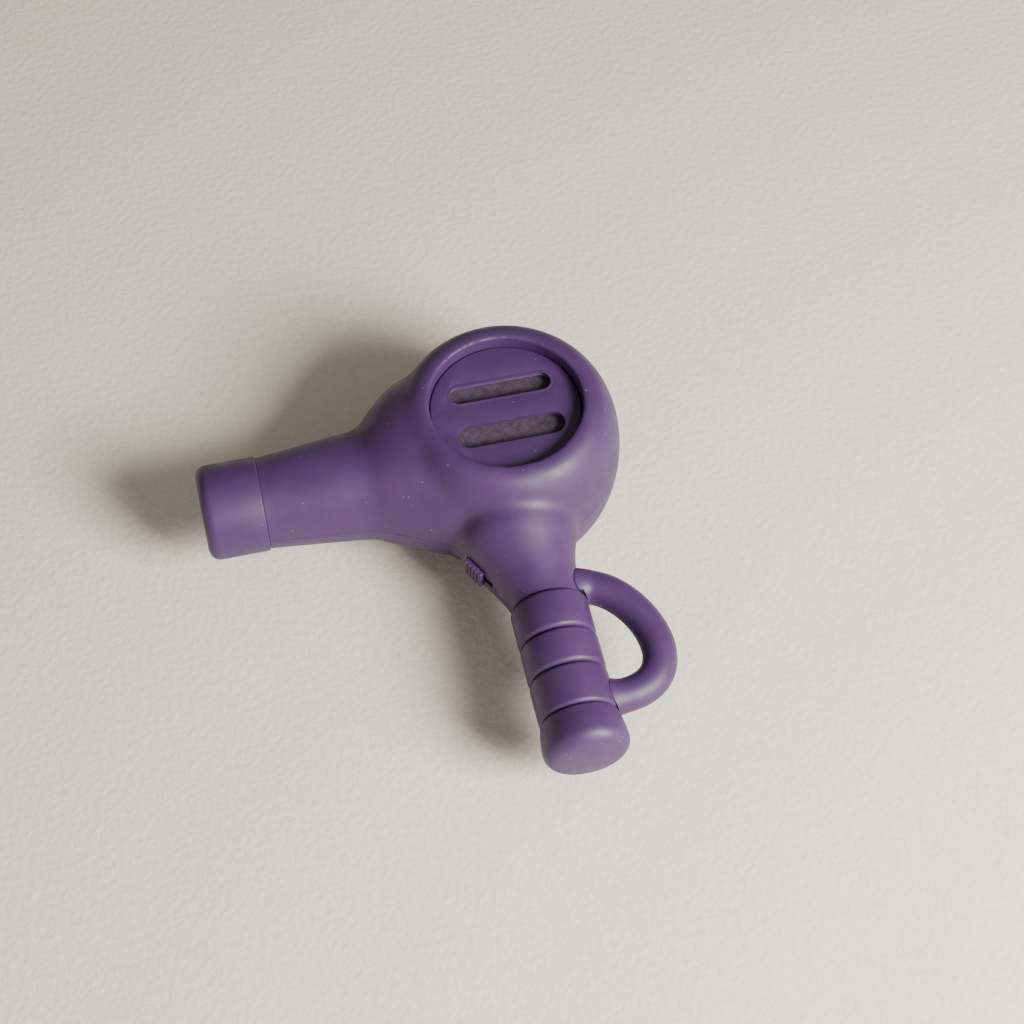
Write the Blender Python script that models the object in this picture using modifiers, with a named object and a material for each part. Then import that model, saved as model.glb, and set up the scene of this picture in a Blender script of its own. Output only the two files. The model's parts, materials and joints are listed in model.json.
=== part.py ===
# Travel hair dryer, lying on its side: the fan axis is vertical, the barrel points to -X, the handle to -Y.
# Pieces are modelled about the fan axis, with the casing's split plane at height 0. One empty then lifts
# and centres them, so that the object stands on z = 0 with its box centred on the origin.
import math

import bmesh
import bpy
from mathutils import Matrix, Vector

# ---------------------------------------------------------------- driving dimensions, in metres
GAP = 0.0003  # between pieces that touch
RUNNING_GAP = 0.0006  # between pieces that turn or slide on each other
WALL = 0.0022

HOUSING_RADIUS = 0.047
HOUSING_HALF_DEPTH = 0.034
SHOULDER_WIDTH = 0.0132  # from the flat crest of the rim out to the housing's side
RIM_FLAT_WIDTH = 0.002
RIM_CHAMFER = 0.0012
AIR_SPACE = 0.017  # between the impeller and the housing's side

INTAKE_DEPTH = 0.006  # from the rim down to the cover's face
LEDGE_THICKNESS = 0.002
LEDGE_WIDTH = 0.0041
COVER_THICKNESS = 0.0024
COVER_EDGE = 0.0005
SKIRT_WALL = 0.0014
SLOT_WIDTH = 0.010
SLOT_SPACING = 0.0203
SLOT_MARGIN = 0.0006  # between a slot's corner and the cover's skirt
LUG_COUNT = 3
LUG_WIDTH = 0.005
LUG_HEIGHT = 0.0011
LUG_GRIP = 0.002  # how far a lug reaches under the ledge
COVER_TWIST = math.radians(20)
FILTER_THICKNESS = 0.0006
FILTER_RIM = 0.0014

BARREL_DROP = 0.0054  # the barrel's axis lies this far towards the handle
BARREL_ROOT_REACH = 0.059  # reaches run along the barrel from the fan axis
BARREL_TIP_REACH = 0.1013
BARREL_ROOT_RADIUS = 0.0226
BARREL_TIP_RADIUS = 0.0186
FLARE_HALF_HEIGHT = 0.032
FLARE_BULGE = 0.003
FLARE_FULLNESS = 0.8  # below 1, a section is fuller than an ellipse
NEAR_FLARE_SLOPE = 0.46
SPIGOT_STEP = 0.0028  # the nozzle's seat is this much smaller than the barrel's tip
SPIGOT_LENGTH = 0.012
SPIGOT_WALL = 0.002
NOZZLE_LENGTH = 0.0247
NOZZLE_STEP = 0.0008  # the nozzle stands this far proud of the barrel's tip
NOZZLE_ROUNDING = 0.0045
MOUTH_LIP = 0.0055  # between the nozzle's side and the ends of its mouth
MOUTH_HEIGHT = 0.015
MOUTH_THROAT = 0.003  # straight stretch of the mouth behind the nozzle's front
GRILLE_THICKNESS = 0.002
GRILLE_BAR = 0.0012

NECK_FRONT_ROOT = 0.029  # half-widths of the neck where it leaves the housing
NECK_BACK_ROOT = 0.0195
NECK_HEIGHT_ROOT = 0.0265
NECK_END_RADIUS = 0.0142
NECK_LENGTH = 0.0292
NECK_LIP = 0.0008

GRIP_RADIUS = 0.0155
GRIP_WALL = 0.0024
GRIP_ROUNDING = 0.0011
RING_LENGTHS = {"upper_grip_ring": 0.0170, "middle_grip_ring": 0.0155, "lower_grip_ring": 0.0178}
CORE_WALL = 0.002
CORE_INTO_CAP = 0.0036
CAP_LENGTH = 0.0175
CAP_RADIUS = 0.0169
CAP_TOP_RADIUS = 0.0156
CAP_ROUNDING = 0.0055
CAP_WALL = 0.0024

LOOP_RADIUS = 0.0068
LOOP_REACH = 0.0394  # from the handle's axis out to the middle of the loop's section

MOTOR_RADIUS = 0.0138
MOTOR_WALL = 0.001
BELL_THICKNESS = 0.0027
BUSH_RADIUS = 0.003
BUSH_PROUD = 0.0018
SHAFT_RADIUS = 0.001
ARMATURE_RADIUS = 0.0088
COMMUTATOR_RADIUS = 0.003
COMMUTATOR_LENGTH = 0.003
BRUSH_SIZE = (0.003, 0.0024, 0.002)
BRACKET_THICKNESS = 0.0016
BRACKET_ARM_WIDTH = 0.006
POST_RADIUS = 0.0024
POST_BEARINGS = (80, 200, 320)  # degrees round the fan axis
HUB_RADIUS = 0.004
HUB_HEIGHT = 0.0055
WEB_THICKNESS = 0.0014
BLADE_COUNT = 16
BLADE_DEPTH = 0.0075  # measured along the impeller's radius
BLADE_THICKNESS = 0.0011
BLADE_SWEEP = math.radians(16)
SCROLL_WALL = 0.0014
SCROLL_GROWTH = 0.0056
SCROLL_START = math.radians(-70)
SCROLL_TURN = math.radians(220)

HEATER_START = 0.052
HEATER_TAIL_LENGTH = 0.008
HEATER_SETBACK = 0.0035  # from the barrel's tip back to the heater
HEATER_BOARD_THICKNESS = 0.0008
HEATER_CLEARANCE = 0.0015  # between the winding and the sleeve
HEATER_WIRE_RADIUS = 0.0005
HEATER_TURNS = 7
SLEEVE_WALL = 0.0005
THERMOSTAT_SIZE = (0.0035, 0.009, 0.006)
FUSE_RADIUS = 0.0018
FUSE_LENGTH = 0.0062

SWITCH_START = 0.0032  # from the housing's side along the handle to the switch's track
SWITCH_TRAVEL = 0.007
BUTTON_LENGTH = 0.0095
BUTTON_WIDTH = 0.009
BUTTON_PROUD = 0.0014
TRACK_DEPTH = 0.001
STEM_LENGTH = 0.0044
STEM_WIDTH = 0.0028
SLIDER_SIZE = (0.0012, 0.0066, 0.0182)
SWITCH_BODY_SIZE = (0.0095, 0.012, 0.017)

BOARD_THICKNESS = 0.0016
BOARD_LENGTH = 0.038
BOARD_SINK = 0.0037  # how far the board lies below the handle's axis
DIODE_RADIUS = 0.0014
DIODE_LENGTH = 0.0052
CAPACITOR_SIZE = (0.0095, 0.006, 0.0135)
LEAD_RADIUS = 0.0006

INLET_LENGTH = 0.0168
INLET_WIDTH = 0.0088
INLET_DEPTH = 0.0105
INLET_WALL = 0.0012
INLET_FLANGE = 0.001
INLET_SINK = 0.0003  # the socket's mouth lies this far inside the cap's surface at its corners
PIN_SPACING = 0.0086
PIN_RADIUS = 0.0012

SCREW_RADIUS = 0.00125
SCREW_HEAD_RADIUS = 0.0026
SCREW_HEAD_HEIGHT = 0.0018
SCREW_BITE = 0.008  # how far a casing screw reaches into the upper half
SCREW_RECESS = 0.0045  # depth of a screw's seat below the casing's surface
BOSS_RADIUS = 0.004
BOSS_INSET = 0.0034  # between a boss and the housing's side wall

# ---------------------------------------------------------------- derived sizes
RIM_OUTER = HOUSING_RADIUS - SHOULDER_WIDTH
INTAKE_RADIUS = RIM_OUTER - RIM_FLAT_WIDTH - RIM_CHAMFER
INTAKE_WALL_RADIUS = INTAKE_RADIUS + WALL
COVER_FACE = HOUSING_HALF_DEPTH - INTAKE_DEPTH
COVER_SEAT = COVER_FACE - COVER_THICKNESS
LEDGE_TOP = COVER_SEAT - GAP
LEDGE_BOTTOM = LEDGE_TOP - LEDGE_THICKNESS
LEDGE_INNER_RADIUS = INTAKE_RADIUS - LEDGE_WIDTH
SKIRT_RADIUS = LEDGE_INNER_RADIUS - GAP
SKIRT_INNER_RADIUS = SKIRT_RADIUS - SKIRT_WALL
LUG_TOP = LEDGE_BOTTOM - GAP
LUG_BOTTOM = LUG_TOP - LUG_HEIGHT
LUG_RADIUS = SKIRT_RADIUS + LUG_GRIP
SLOT_HALF_STRAIGHT = math.sqrt(
    (SKIRT_INNER_RADIUS - SLOT_MARGIN - SLOT_WIDTH / 2) ** 2 - (SLOT_SPACING / 2) ** 2
)

SPIGOT_RADIUS = BARREL_TIP_RADIUS - SPIGOT_STEP
SPIGOT_BORE = SPIGOT_RADIUS - SPIGOT_WALL
SPIGOT_FRONT = BARREL_TIP_REACH + SPIGOT_LENGTH
NOZZLE_RADIUS = BARREL_TIP_RADIUS + NOZZLE_STEP
NOZZLE_BACK = BARREL_TIP_REACH + RUNNING_GAP
NOZZLE_FRONT = BARREL_TIP_REACH + NOZZLE_LENGTH
SLEEVE_RADIUS = BARREL_TIP_RADIUS - WALL - GAP
WINDING_RADIUS = SLEEVE_RADIUS - SLEEVE_WALL - HEATER_CLEARANCE - HEATER_WIRE_RADIUS
HEATER_BOARD_HALF_WIDTH = WINDING_RADIUS - HEATER_WIRE_RADIUS - GAP
HEATER_END = BARREL_TIP_REACH - HEATER_SETBACK
HEATER_TAIL = HEATER_START - HEATER_TAIL_LENGTH

NECK_END = HOUSING_RADIUS + NECK_LENGTH
GRIP_START = NECK_END + GAP
GRIP_END = GRIP_START + sum(RING_LENGTHS.values())
CORE_RADIUS = GRIP_RADIUS - GRIP_WALL - GAP
CORE_BORE = CORE_RADIUS - CORE_WALL
CORE_END = GRIP_END + CORE_INTO_CAP
CAP_START = GRIP_END + GAP
HANDLE_END = GRIP_END + CAP_LENGTH
BOARD_START = GRIP_START + 0.0075
INLET_CENTRE = CORE_END + 2 * RUNNING_GAP + INLET_WIDTH / 2
INLET_MOUTH = math.sqrt(CAP_RADIUS**2 - (INLET_LENGTH / 2) ** 2) - INLET_SINK
INLET_BACK = INLET_MOUTH - INLET_DEPTH

BRACKET_BOTTOM = -(LUG_BOTTOM - RUNNING_GAP)
BRACKET_TOP = BRACKET_BOTTOM + BRACKET_THICKNESS
POST_RING_RADIUS = INTAKE_RADIUS + POST_RADIUS / 2
MOTOR_BOTTOM = BRACKET_TOP + GAP
CAN_BOTTOM = MOTOR_BOTTOM + BELL_THICKNESS + GAP
IMPELLER_RADIUS = HOUSING_RADIUS - AIR_SPACE
IMPELLER_TOP = LUG_BOTTOM - 3 * RUNNING_GAP
IMPELLER_BOTTOM = MOTOR_BOTTOM + SCREW_HEAD_HEIGHT + RUNNING_GAP
HUB_TOP = IMPELLER_TOP - GAP
WEB_BOTTOM = HUB_TOP - HUB_HEIGHT
BUSH_TOP = WEB_BOTTOM - RUNNING_GAP
CAN_TOP = BUSH_TOP - BUSH_PROUD
SHAFT_BORE = SHAFT_RADIUS + GAP
SCROLL_HALF_HEIGHT = -(MOTOR_BOTTOM + SCREW_HEAD_HEIGHT + RUNNING_GAP)
BOSS_RING_RADIUS = HOUSING_RADIUS - WALL - BOSS_RADIUS - BOSS_INSET

CENTRE_X = (NOZZLE_FRONT - HOUSING_RADIUS) / 2
CENTRE_Y = (HANDLE_END - HOUSING_RADIUS) / 2

PURPLE = (0.165, 0.088, 0.262)
DARK = (0.05, 0.045, 0.055)
MICA = (0.55, 0.47, 0.33)
STEEL = (0.55, 0.55, 0.56)
BRASS = (0.60, 0.45, 0.20)
COPPER = (0.62, 0.28, 0.14)


# ---------------------------------------------------------------- scene, materials and helpers
def clear_scene():
    for obj in list(bpy.data.objects):
        bpy.data.objects.remove(obj, do_unlink=True)


def new_collection(name):
    collection = bpy.data.collections.new(name)
    bpy.context.scene.collection.children.link(collection)
    return collection


def new_empty(name, parent=None, location=(0, 0, 0), rotation=(0, 0, 0)):
    """A frame for the pieces that share an axis."""
    empty = bpy.data.objects.new(name, None)
    empty.empty_display_size = 0.02
    empty.parent = parent
    empty.location = location
    empty.rotation_euler = rotation
    parts.objects.link(empty)
    return empty


def new_part(name, data, parent, colour, roughness=0.5, metallic=0.0):
    """One sub-part with its own material, placed in its parent's frame."""
    material = bpy.data.materials.new(name)
    material.use_nodes = True
    shader = material.node_tree.nodes["Principled BSDF"]
    shader.inputs["Base Color"].default_value = (*colour, 1)
    shader.inputs["Roughness"].default_value = roughness
    shader.inputs["Metallic"].default_value = metallic
    data.materials.append(material)
    obj = bpy.data.objects.new(name, data)
    obj.parent = parent
    parts.objects.link(obj)
    return obj


def new_cutter(name, data, parent):
    """A helper solid for a Boolean, which is never part of the object."""
    obj = bpy.data.objects.new(name, data)
    obj.parent = parent
    obj.hide_render = True
    obj.display_type = "WIRE"
    cutters.objects.link(obj)
    return obj


def boolean(obj, operation, *others):
    for other in others:
        modifier = obj.modifiers.new(f"{operation} {other.name}", "BOOLEAN")
        modifier.operation = operation
        modifier.object = other
    return obj


def screw(obj, steps=40):
    """Turns a profile about the object's Z axis. The profile runs down its outer side."""
    modifier = obj.modifiers.new("turn", "SCREW")
    modifier.steps = steps
    modifier.render_steps = steps
    modifier.use_merge_vertices = True
    modifier.merge_threshold = 0.00001
    return obj


def bevel(obj, width, segments=2):
    modifier = obj.modifiers.new("rounded edges", "BEVEL")
    modifier.width = width
    modifier.segments = segments
    modifier.limit_method = "ANGLE"
    return obj


def mesh_from(bm, name):
    mesh = bpy.data.meshes.new(name)
    bm.to_mesh(mesh)
    bm.free()
    return mesh


def profile(name, points):
    """An outline of (radius, height) points for screw(), closed where neither end is on the axis."""
    bm = bmesh.new()
    verts = [bm.verts.new((radius, 0, height)) for radius, height in points]
    for first, second in zip(verts, verts[1:]):
        bm.edges.new((first, second))
    if points[0][0] > 0:
        bm.edges.new((verts[-1], verts[0]))
    return mesh_from(bm, name)


def washer(outer, inner, low, high):
    """The profile points of a ring, or of a disc where inner is 0."""
    return [(inner, high), (outer, high), (outer, low), (inner, low)]


def boxes(name, size, places):
    """Blocks of one size, one for each matrix, in one mesh."""
    bm = bmesh.new()
    for place in places:
        bmesh.ops.create_cube(bm, size=1, matrix=place @ Matrix.Diagonal((*size, 1)))
    return mesh_from(bm, name)


def rods(name, radius, low, high, centres, sides=12):
    """Upright cylinders of one size, one for each (x, y) centre, in one mesh."""
    bm = bmesh.new()
    for x, y in centres:
        place = Matrix.Translation((x, y, (low + high) / 2))
        bmesh.ops.create_cone(
            bm, cap_ends=True, segments=sides, radius1=radius, radius2=radius, depth=high - low, matrix=place
        )
    return mesh_from(bm, name)


def prism(name, outline, low, high):
    """A flat outline of (x, y) points, given anticlockwise, raised from low to high."""
    bm = bmesh.new()
    face = bm.faces.new([bm.verts.new((x, y, low)) for x, y in outline])
    raised = bmesh.ops.extrude_face_region(bm, geom=[face])["geom"]
    top = [item for item in raised if isinstance(item, bmesh.types.BMVert)]
    bmesh.ops.translate(bm, vec=(0, 0, high - low), verts=top)
    bmesh.ops.recalc_face_normals(bm, faces=bm.faces)
    return mesh_from(bm, name)


def loft(name, sections):
    """A skin through closed sections with equally many points, capped at both ends."""
    bm = bmesh.new()
    rings = [[bm.verts.new(point) for point in section] for section in sections]
    for first, second in zip(rings, rings[1:]):
        for i, vert in enumerate(first):
            after = (i + 1) % len(first)
            bm.faces.new([vert, first[after], second[after], second[i]])
    bm.faces.new(rings[0])
    bm.faces.new(rings[-1])
    bmesh.ops.recalc_face_normals(bm, faces=bm.faces)
    return mesh_from(bm, name)


def oval(x_low, x_high, y_low, y_high, z, fullness=1.0, count=28):
    """A closed section across the Z axis that reaches the four given distances from the axis."""
    points = []
    for i in range(count):
        angle = 2 * math.pi * (i + 0.5) / count
        x = math.copysign(abs(math.cos(angle)) ** fullness, math.cos(angle))
        y = math.copysign(abs(math.sin(angle)) ** fullness, math.sin(angle))
        points.append((x * (x_high if x > 0 else x_low), y * (y_high if y > 0 else y_low), z))
    return points


def arc(centre, radii, start, end, count):
    """Points along an elliptical arc, with angles in degrees."""
    angles = [math.radians(start + (end - start) * i / count) for i in range(count + 1)]
    return [(centre[0] + radii[0] * math.cos(a), centre[1] + radii[1] * math.sin(a)) for a in angles]


def stadium(length, width, count=6):
    """A slot's outline: two half circles joined by straight sides."""
    half = (length - width) / 2
    return arc((half, 0), (width / 2, width / 2), -90, 90, count) + arc(
        (-half, 0), (width / 2, width / 2), 90, 270, count
    )


def ease(t):
    return t * t * (3 - 2 * t)


def smooth_path(points, steps=4):
    """Points on a smooth curve through the given ones (Catmull-Rom)."""
    ends = [Vector(point) for point in (points[0], *points, points[-1])]
    path = []
    for a, b, c, d in zip(ends, ends[1:], ends[2:], ends[3:]):
        for i in range(steps):
            t = i / steps
            curve = 2 * b + (c - a) * t + (2 * a - 5 * b + 4 * c - d) * t**2 + (3 * b - a - 3 * c + d) * t**3
            path.append(curve / 2)
    return [*path, ends[-1]]


def wire(name, points, radius, parent, colour, metallic=0.0, resolution=1):
    """A wire or lead along a path, with filled caps."""
    curve = bpy.data.curves.new(name, "CURVE")
    curve.dimensions = "3D"
    curve.bevel_depth = radius
    curve.bevel_resolution = resolution
    curve.use_fill_caps = True
    spline = curve.splines.new("POLY")
    spline.points.add(len(points) - 1)
    for point, place in zip(spline.points, points):
        point.co = (*place, 1)
    return new_part(name, curve, parent, colour, 0.4, metallic)


def around(count, start=0.0):
    """Rotations about the Z axis, evenly spread."""
    return [Matrix.Rotation(start + 2 * math.pi * i / count, 4, "Z") for i in range(count)]


# ---------------------------------------------------------------- outside shape of the casing
def far_flare_slope():
    """The slope at which the flare's far side runs from the barrel's root to touch the housing."""
    root_height = BARREL_ROOT_RADIUS - BARREL_DROP
    distance = math.hypot(BARREL_ROOT_REACH, root_height)
    bearing = math.atan2(BARREL_ROOT_REACH, root_height)
    return bearing - math.acos((HOUSING_RADIUS - 2 * GAP) / distance)


def barrel_sections(offset, start_reach):
    """Sections of the barrel and its flare into the housing, grown by offset."""
    slope = far_flare_slope()
    touch_reach = (HOUSING_RADIUS - 2 * GAP) * math.sin(slope)
    tip = BARREL_TIP_RADIUS + offset
    root = BARREL_ROOT_RADIUS + offset
    sections = [oval(tip, tip, tip, tip, BARREL_TIP_REACH + min(offset, 0))]
    stations = 6
    for i in range(stations):
        reach = BARREL_ROOT_REACH + (start_reach - BARREL_ROOT_REACH) * i / (stations - 1)
        run = BARREL_ROOT_REACH - reach
        share = min(run / (BARREL_ROOT_REACH - touch_reach), 1)
        height = root + (FLARE_HALF_HEIGHT - BARREL_ROOT_RADIUS) * share * (2 - share)
        far = root + math.tan(slope) * min(run, BARREL_ROOT_REACH - touch_reach)
        far += FLARE_BULGE * math.sin(math.pi * share)
        near = root + NEAR_FLARE_SLOPE * run
        fullness = 1 + (FLARE_FULLNESS - 1) * math.sqrt(share)
        sections.append(oval(height, height, near, far, reach, fullness))
    return sections


def neck_half_width(root, power, along):
    share = min(max((along - HOUSING_RADIUS) / NECK_LENGTH, 0), 1)
    return NECK_END_RADIUS + (root - NECK_END_RADIUS) * (1 - share) ** power


def neck_front(along):
    return neck_half_width(NECK_FRONT_ROOT, 1.15, along)


def neck_sections(offset, end):
    """Sections of the neck from inside the housing down to the handle, grown by offset."""
    start = INTAKE_WALL_RADIUS + GAP
    stations = 7
    sections = []
    for i in range(stations):
        along = start + (end - start) * i / (stations - 1)
        front = neck_front(along) + offset
        back = neck_half_width(NECK_BACK_ROOT, 2.7, along) + offset
        height = neck_half_width(NECK_HEIGHT_ROOT, 1.6, along) + offset
        sections.append(oval(front, back, height, height, along))
    return sections


def housing_outline(inset=0.0, inner_radius=0.0, inner_height=0.0):
    """The housing's profile, top to bottom: a flat crest, then a rounded shoulder down to the side."""
    radii = (SHOULDER_WIDTH - inset, HOUSING_HALF_DEPTH - inset)
    shoulder = arc((RIM_OUTER, 0), radii, 90, 0, 5)
    crest = [(0, radii[1])]
    if inner_radius:
        crest = [(0, inner_height), (inner_radius, inner_height), (inner_radius, radii[1])]
    upper = crest + shoulder
    lower = [(radius, -height) for radius, height in reversed(upper[:-1])]
    return upper + lower


def shoulder_height(radius):
    """Half-depth of the housing at a distance from the fan axis."""
    share = max(radius - RIM_OUTER, 0) / SHOULDER_WIDTH
    return HOUSING_HALF_DEPTH * math.sqrt(1 - share**2)


# ---------------------------------------------------------------- casing screws
def on_ring(radius, degrees):
    return (radius * math.cos(math.radians(degrees)), radius * math.sin(math.radians(degrees)))


def screw_places():
    """Each casing screw's (x, y) and the casing's half-depth over it."""
    flare = (-(BARREL_ROOT_REACH + INTAKE_WALL_RADIUS) / 2, BARREL_ROOT_RADIUS - BOSS_RADIUS)
    neck = (NECK_BACK_ROOT - WALL - BOSS_RADIUS - 0.0058, -(HOUSING_RADIUS + 0.5 * NECK_LENGTH))
    return [
        (on_ring(BOSS_RING_RADIUS, -25), shoulder_height(BOSS_RING_RADIUS)),
        (on_ring(BOSS_RING_RADIUS, 35), shoulder_height(BOSS_RING_RADIUS)),
        (flare, BARREL_ROOT_RADIUS),
        (neck, neck_half_width(NECK_HEIGHT_ROOT, 1.6, -neck[1])),
    ]


def turned_screw(name, head_low, length, parent, centre):
    """A pan-head screw that points up the Z axis, with its head at the bottom."""
    head_top = head_low + SCREW_HEAD_HEIGHT
    drive = SCREW_HEAD_RADIUS * 0.45
    points = [
        (0, head_top + length),
        (SCREW_RADIUS * 0.5, head_top + length),
        (SCREW_RADIUS, head_top + length - SCREW_RADIUS),
        (SCREW_RADIUS, head_top),
        (SCREW_HEAD_RADIUS, head_top),
        (SCREW_HEAD_RADIUS, head_low + SCREW_HEAD_HEIGHT * 0.4),
        (drive * 1.6, head_low),
        (drive, head_low),
        (drive, head_low + SCREW_HEAD_HEIGHT * 0.6),
        (0, head_low + SCREW_HEAD_HEIGHT * 0.6),
    ]
    obj = screw(new_part(name, profile(name, points), parent, STEEL, 0.35, 1.0), 12)
    obj.location = (*centre, 0)
    return obj


def make_casing_screws():
    for index, (centre, depth) in enumerate(screw_places(), 1):
        head_low = -(depth - SCREW_RECESS) - SCREW_HEAD_HEIGHT - GAP
        length = -(head_low + SCREW_HEAD_HEIGHT) + SCREW_BITE
        turned_screw(f"casing_screw_{index}", head_low, length, dryer, centre)


# ---------------------------------------------------------------- casing halves
def make_cavity():
    """The hollow of both halves together, with the screw bosses and bracket posts left standing in it."""
    inner = housing_outline(WALL, INTAKE_WALL_RADIUS, LEDGE_BOTTOM)
    cavity = screw(new_cutter("housing_hollow", profile("housing_hollow", inner), dryer), 36)
    barrel = loft("barrel_hollow", barrel_sections(-WALL, INTAKE_WALL_RADIUS + GAP))
    neck = loft("neck_hollow", neck_sections(-WALL, NECK_END - NECK_LIP))
    bore = rods("core_hollow", CORE_BORE, NECK_END - 0.005, CORE_END + 0.001, [(0, 0)], 24)
    outlet = rods("spigot_hollow", SPIGOT_BORE, BARREL_TIP_REACH - 0.005, SPIGOT_FRONT + 0.001, [(0, 0)], 24)
    boss_centres = [centre for centre, _ in screw_places()]
    bosses = rods("bosses", BOSS_RADIUS, -HOUSING_HALF_DEPTH, HOUSING_HALF_DEPTH, boss_centres)
    posts = rods("posts", POST_RADIUS, -HOUSING_HALF_DEPTH, BRACKET_BOTTOM - GAP, post_centres())
    boolean(
        cavity,
        "UNION",
        new_cutter("barrel_hollow", barrel, barrel_axis),
        new_cutter("neck_hollow", neck, handle_axis),
        new_cutter("core_hollow", bore, handle_axis),
        new_cutter("spigot_hollow", outlet, barrel_axis),
    )
    boolean(cavity, "DIFFERENCE", new_cutter("bosses", bosses, dryer), new_cutter("posts", posts, dryer))
    return cavity


def post_centres():
    return [on_ring(POST_RING_RADIUS, degrees) for degrees in POST_BEARINGS]


def make_outside_additions():
    """What the housing is joined to: barrel, spigot, neck and handle core."""
    barrel = loft("barrel_shape", barrel_sections(0, INTAKE_RADIUS - 0.004))
    spigot = rods("spigot_shape", SPIGOT_RADIUS, BARREL_TIP_REACH - 0.002, SPIGOT_FRONT, [(0, 0)], 28)
    sections = neck_sections(0, NECK_END - NECK_LIP)
    lip = NECK_END_RADIUS - NECK_LIP
    sections.append(oval(lip, lip, lip, lip, NECK_END))
    core = rods("core_shape", CORE_RADIUS, NECK_END - 0.004, CORE_END, [(0, 0)], 28)
    return [
        new_cutter("barrel_shape", barrel, barrel_axis),
        new_cutter("spigot_shape", spigot, barrel_axis),
        new_cutter("neck_shape", loft("neck_shape", sections), handle_axis),
        new_cutter("core_shape", core, handle_axis),
    ]


def make_intake_cutter(name, turn):
    """The recess over the cover, its ledge and the ways in for the cover's lugs."""
    axis = new_empty(f"{name}_axis", dryer, rotation=(turn, 0, 0))
    above = HOUSING_HALF_DEPTH + 0.002
    points = [
        (0, above),
        (INTAKE_RADIUS + RIM_CHAMFER + 0.002, above),
        (INTAKE_RADIUS, HOUSING_HALF_DEPTH - RIM_CHAMFER),
        (INTAKE_RADIUS, LEDGE_TOP),
        (LEDGE_INNER_RADIUS, LEDGE_TOP),
        (LEDGE_INNER_RADIUS, LEDGE_BOTTOM - 0.002),
        (0, LEDGE_BOTTOM - 0.002),
    ]
    recess = screw(new_cutter(name, profile(name, points), axis), 36)
    size = (2 * (LUG_GRIP + GAP + 0.001), LUG_WIDTH + 2 * RUNNING_GAP, LEDGE_THICKNESS + 0.002)
    reach = Matrix.Translation((LEDGE_INNER_RADIUS, 0, LEDGE_BOTTOM + LEDGE_THICKNESS / 2))
    ways = boxes(f"{name}_ways", size, [turn_by @ reach for turn_by in around(LUG_COUNT, COVER_TWIST)])
    return boolean(recess, "UNION", new_cutter(f"{name}_ways", ways, axis))


def make_switch_cutter():
    """The flat track that the button slides in, and the window for its stem."""
    track_length = BUTTON_LENGTH + SWITCH_TRAVEL + 2 * RUNNING_GAP
    track_size = (TRACK_DEPTH + 0.005, BUTTON_WIDTH + 2 * RUNNING_GAP, track_length)
    track = boxes("track", track_size, [Matrix.Translation((0.0025 - TRACK_DEPTH / 2, 0, track_length / 2))])
    window_size = (0.008, STEM_WIDTH + 2 * RUNNING_GAP, STEM_LENGTH + SWITCH_TRAVEL + 2 * RUNNING_GAP)
    window = boxes("window", window_size, [Matrix.Translation((0, 0, track_length / 2))])
    return boolean(
        new_cutter("track", track, switch_axis), "UNION", new_cutter("window", window, switch_axis)
    )


def make_casing(name, side, additions, cuts):
    """One half of the casing: side is 1 for the upper half, -1 for the lower."""
    casing = screw(new_part(name, profile(name, housing_outline()), dryer, PURPLE), 36)
    far = 0.5
    other_half = boxes(
        f"below_{name}", (far, far, far), [Matrix.Translation((0, 0, side * (GAP / 2 - far / 2)))]
    )
    boolean(casing, "UNION", *additions)
    boolean(casing, "DIFFERENCE", *cuts, new_cutter(f"below_{name}", other_half, dryer))
    return casing


def make_screw_holes():
    """Clearance holes with sunk seats in the lower half, pilot holes in the upper half."""
    through = HOUSING_HALF_DEPTH + 0.005
    centres = [centre for centre, _ in screw_places()]
    lower = new_cutter(
        "screw_holes", rods("screw_holes", SCREW_RADIUS + GAP, -through, SCREW_BITE + 0.001, centres), dryer
    )
    for index, (centre, depth) in enumerate(screw_places(), 1):
        seat = rods(f"seat_{index}", SCREW_HEAD_RADIUS + GAP, -through, -(depth - SCREW_RECESS), [centre])
        boolean(lower, "UNION", new_cutter(f"seat_{index}", seat, dryer))
    return lower


def make_post_holes():
    low = BRACKET_BOTTOM - 0.0065
    return new_cutter("post_holes", rods("post_holes", SCREW_RADIUS + GAP, low, 0, post_centres()), dryer)


def make_casings():
    additions = make_outside_additions()
    cavity = make_cavity()
    track = make_switch_cutter()
    holes = make_screw_holes()
    upper_intake = make_intake_cutter("upper_intake", 0)
    lower_intake = make_intake_cutter("lower_intake", math.pi)
    make_casing("upper_casing", 1, additions, [cavity, upper_intake, track, holes])
    make_casing("lower_casing", -1, additions, [cavity, lower_intake, track, holes, make_post_holes()])


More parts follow.
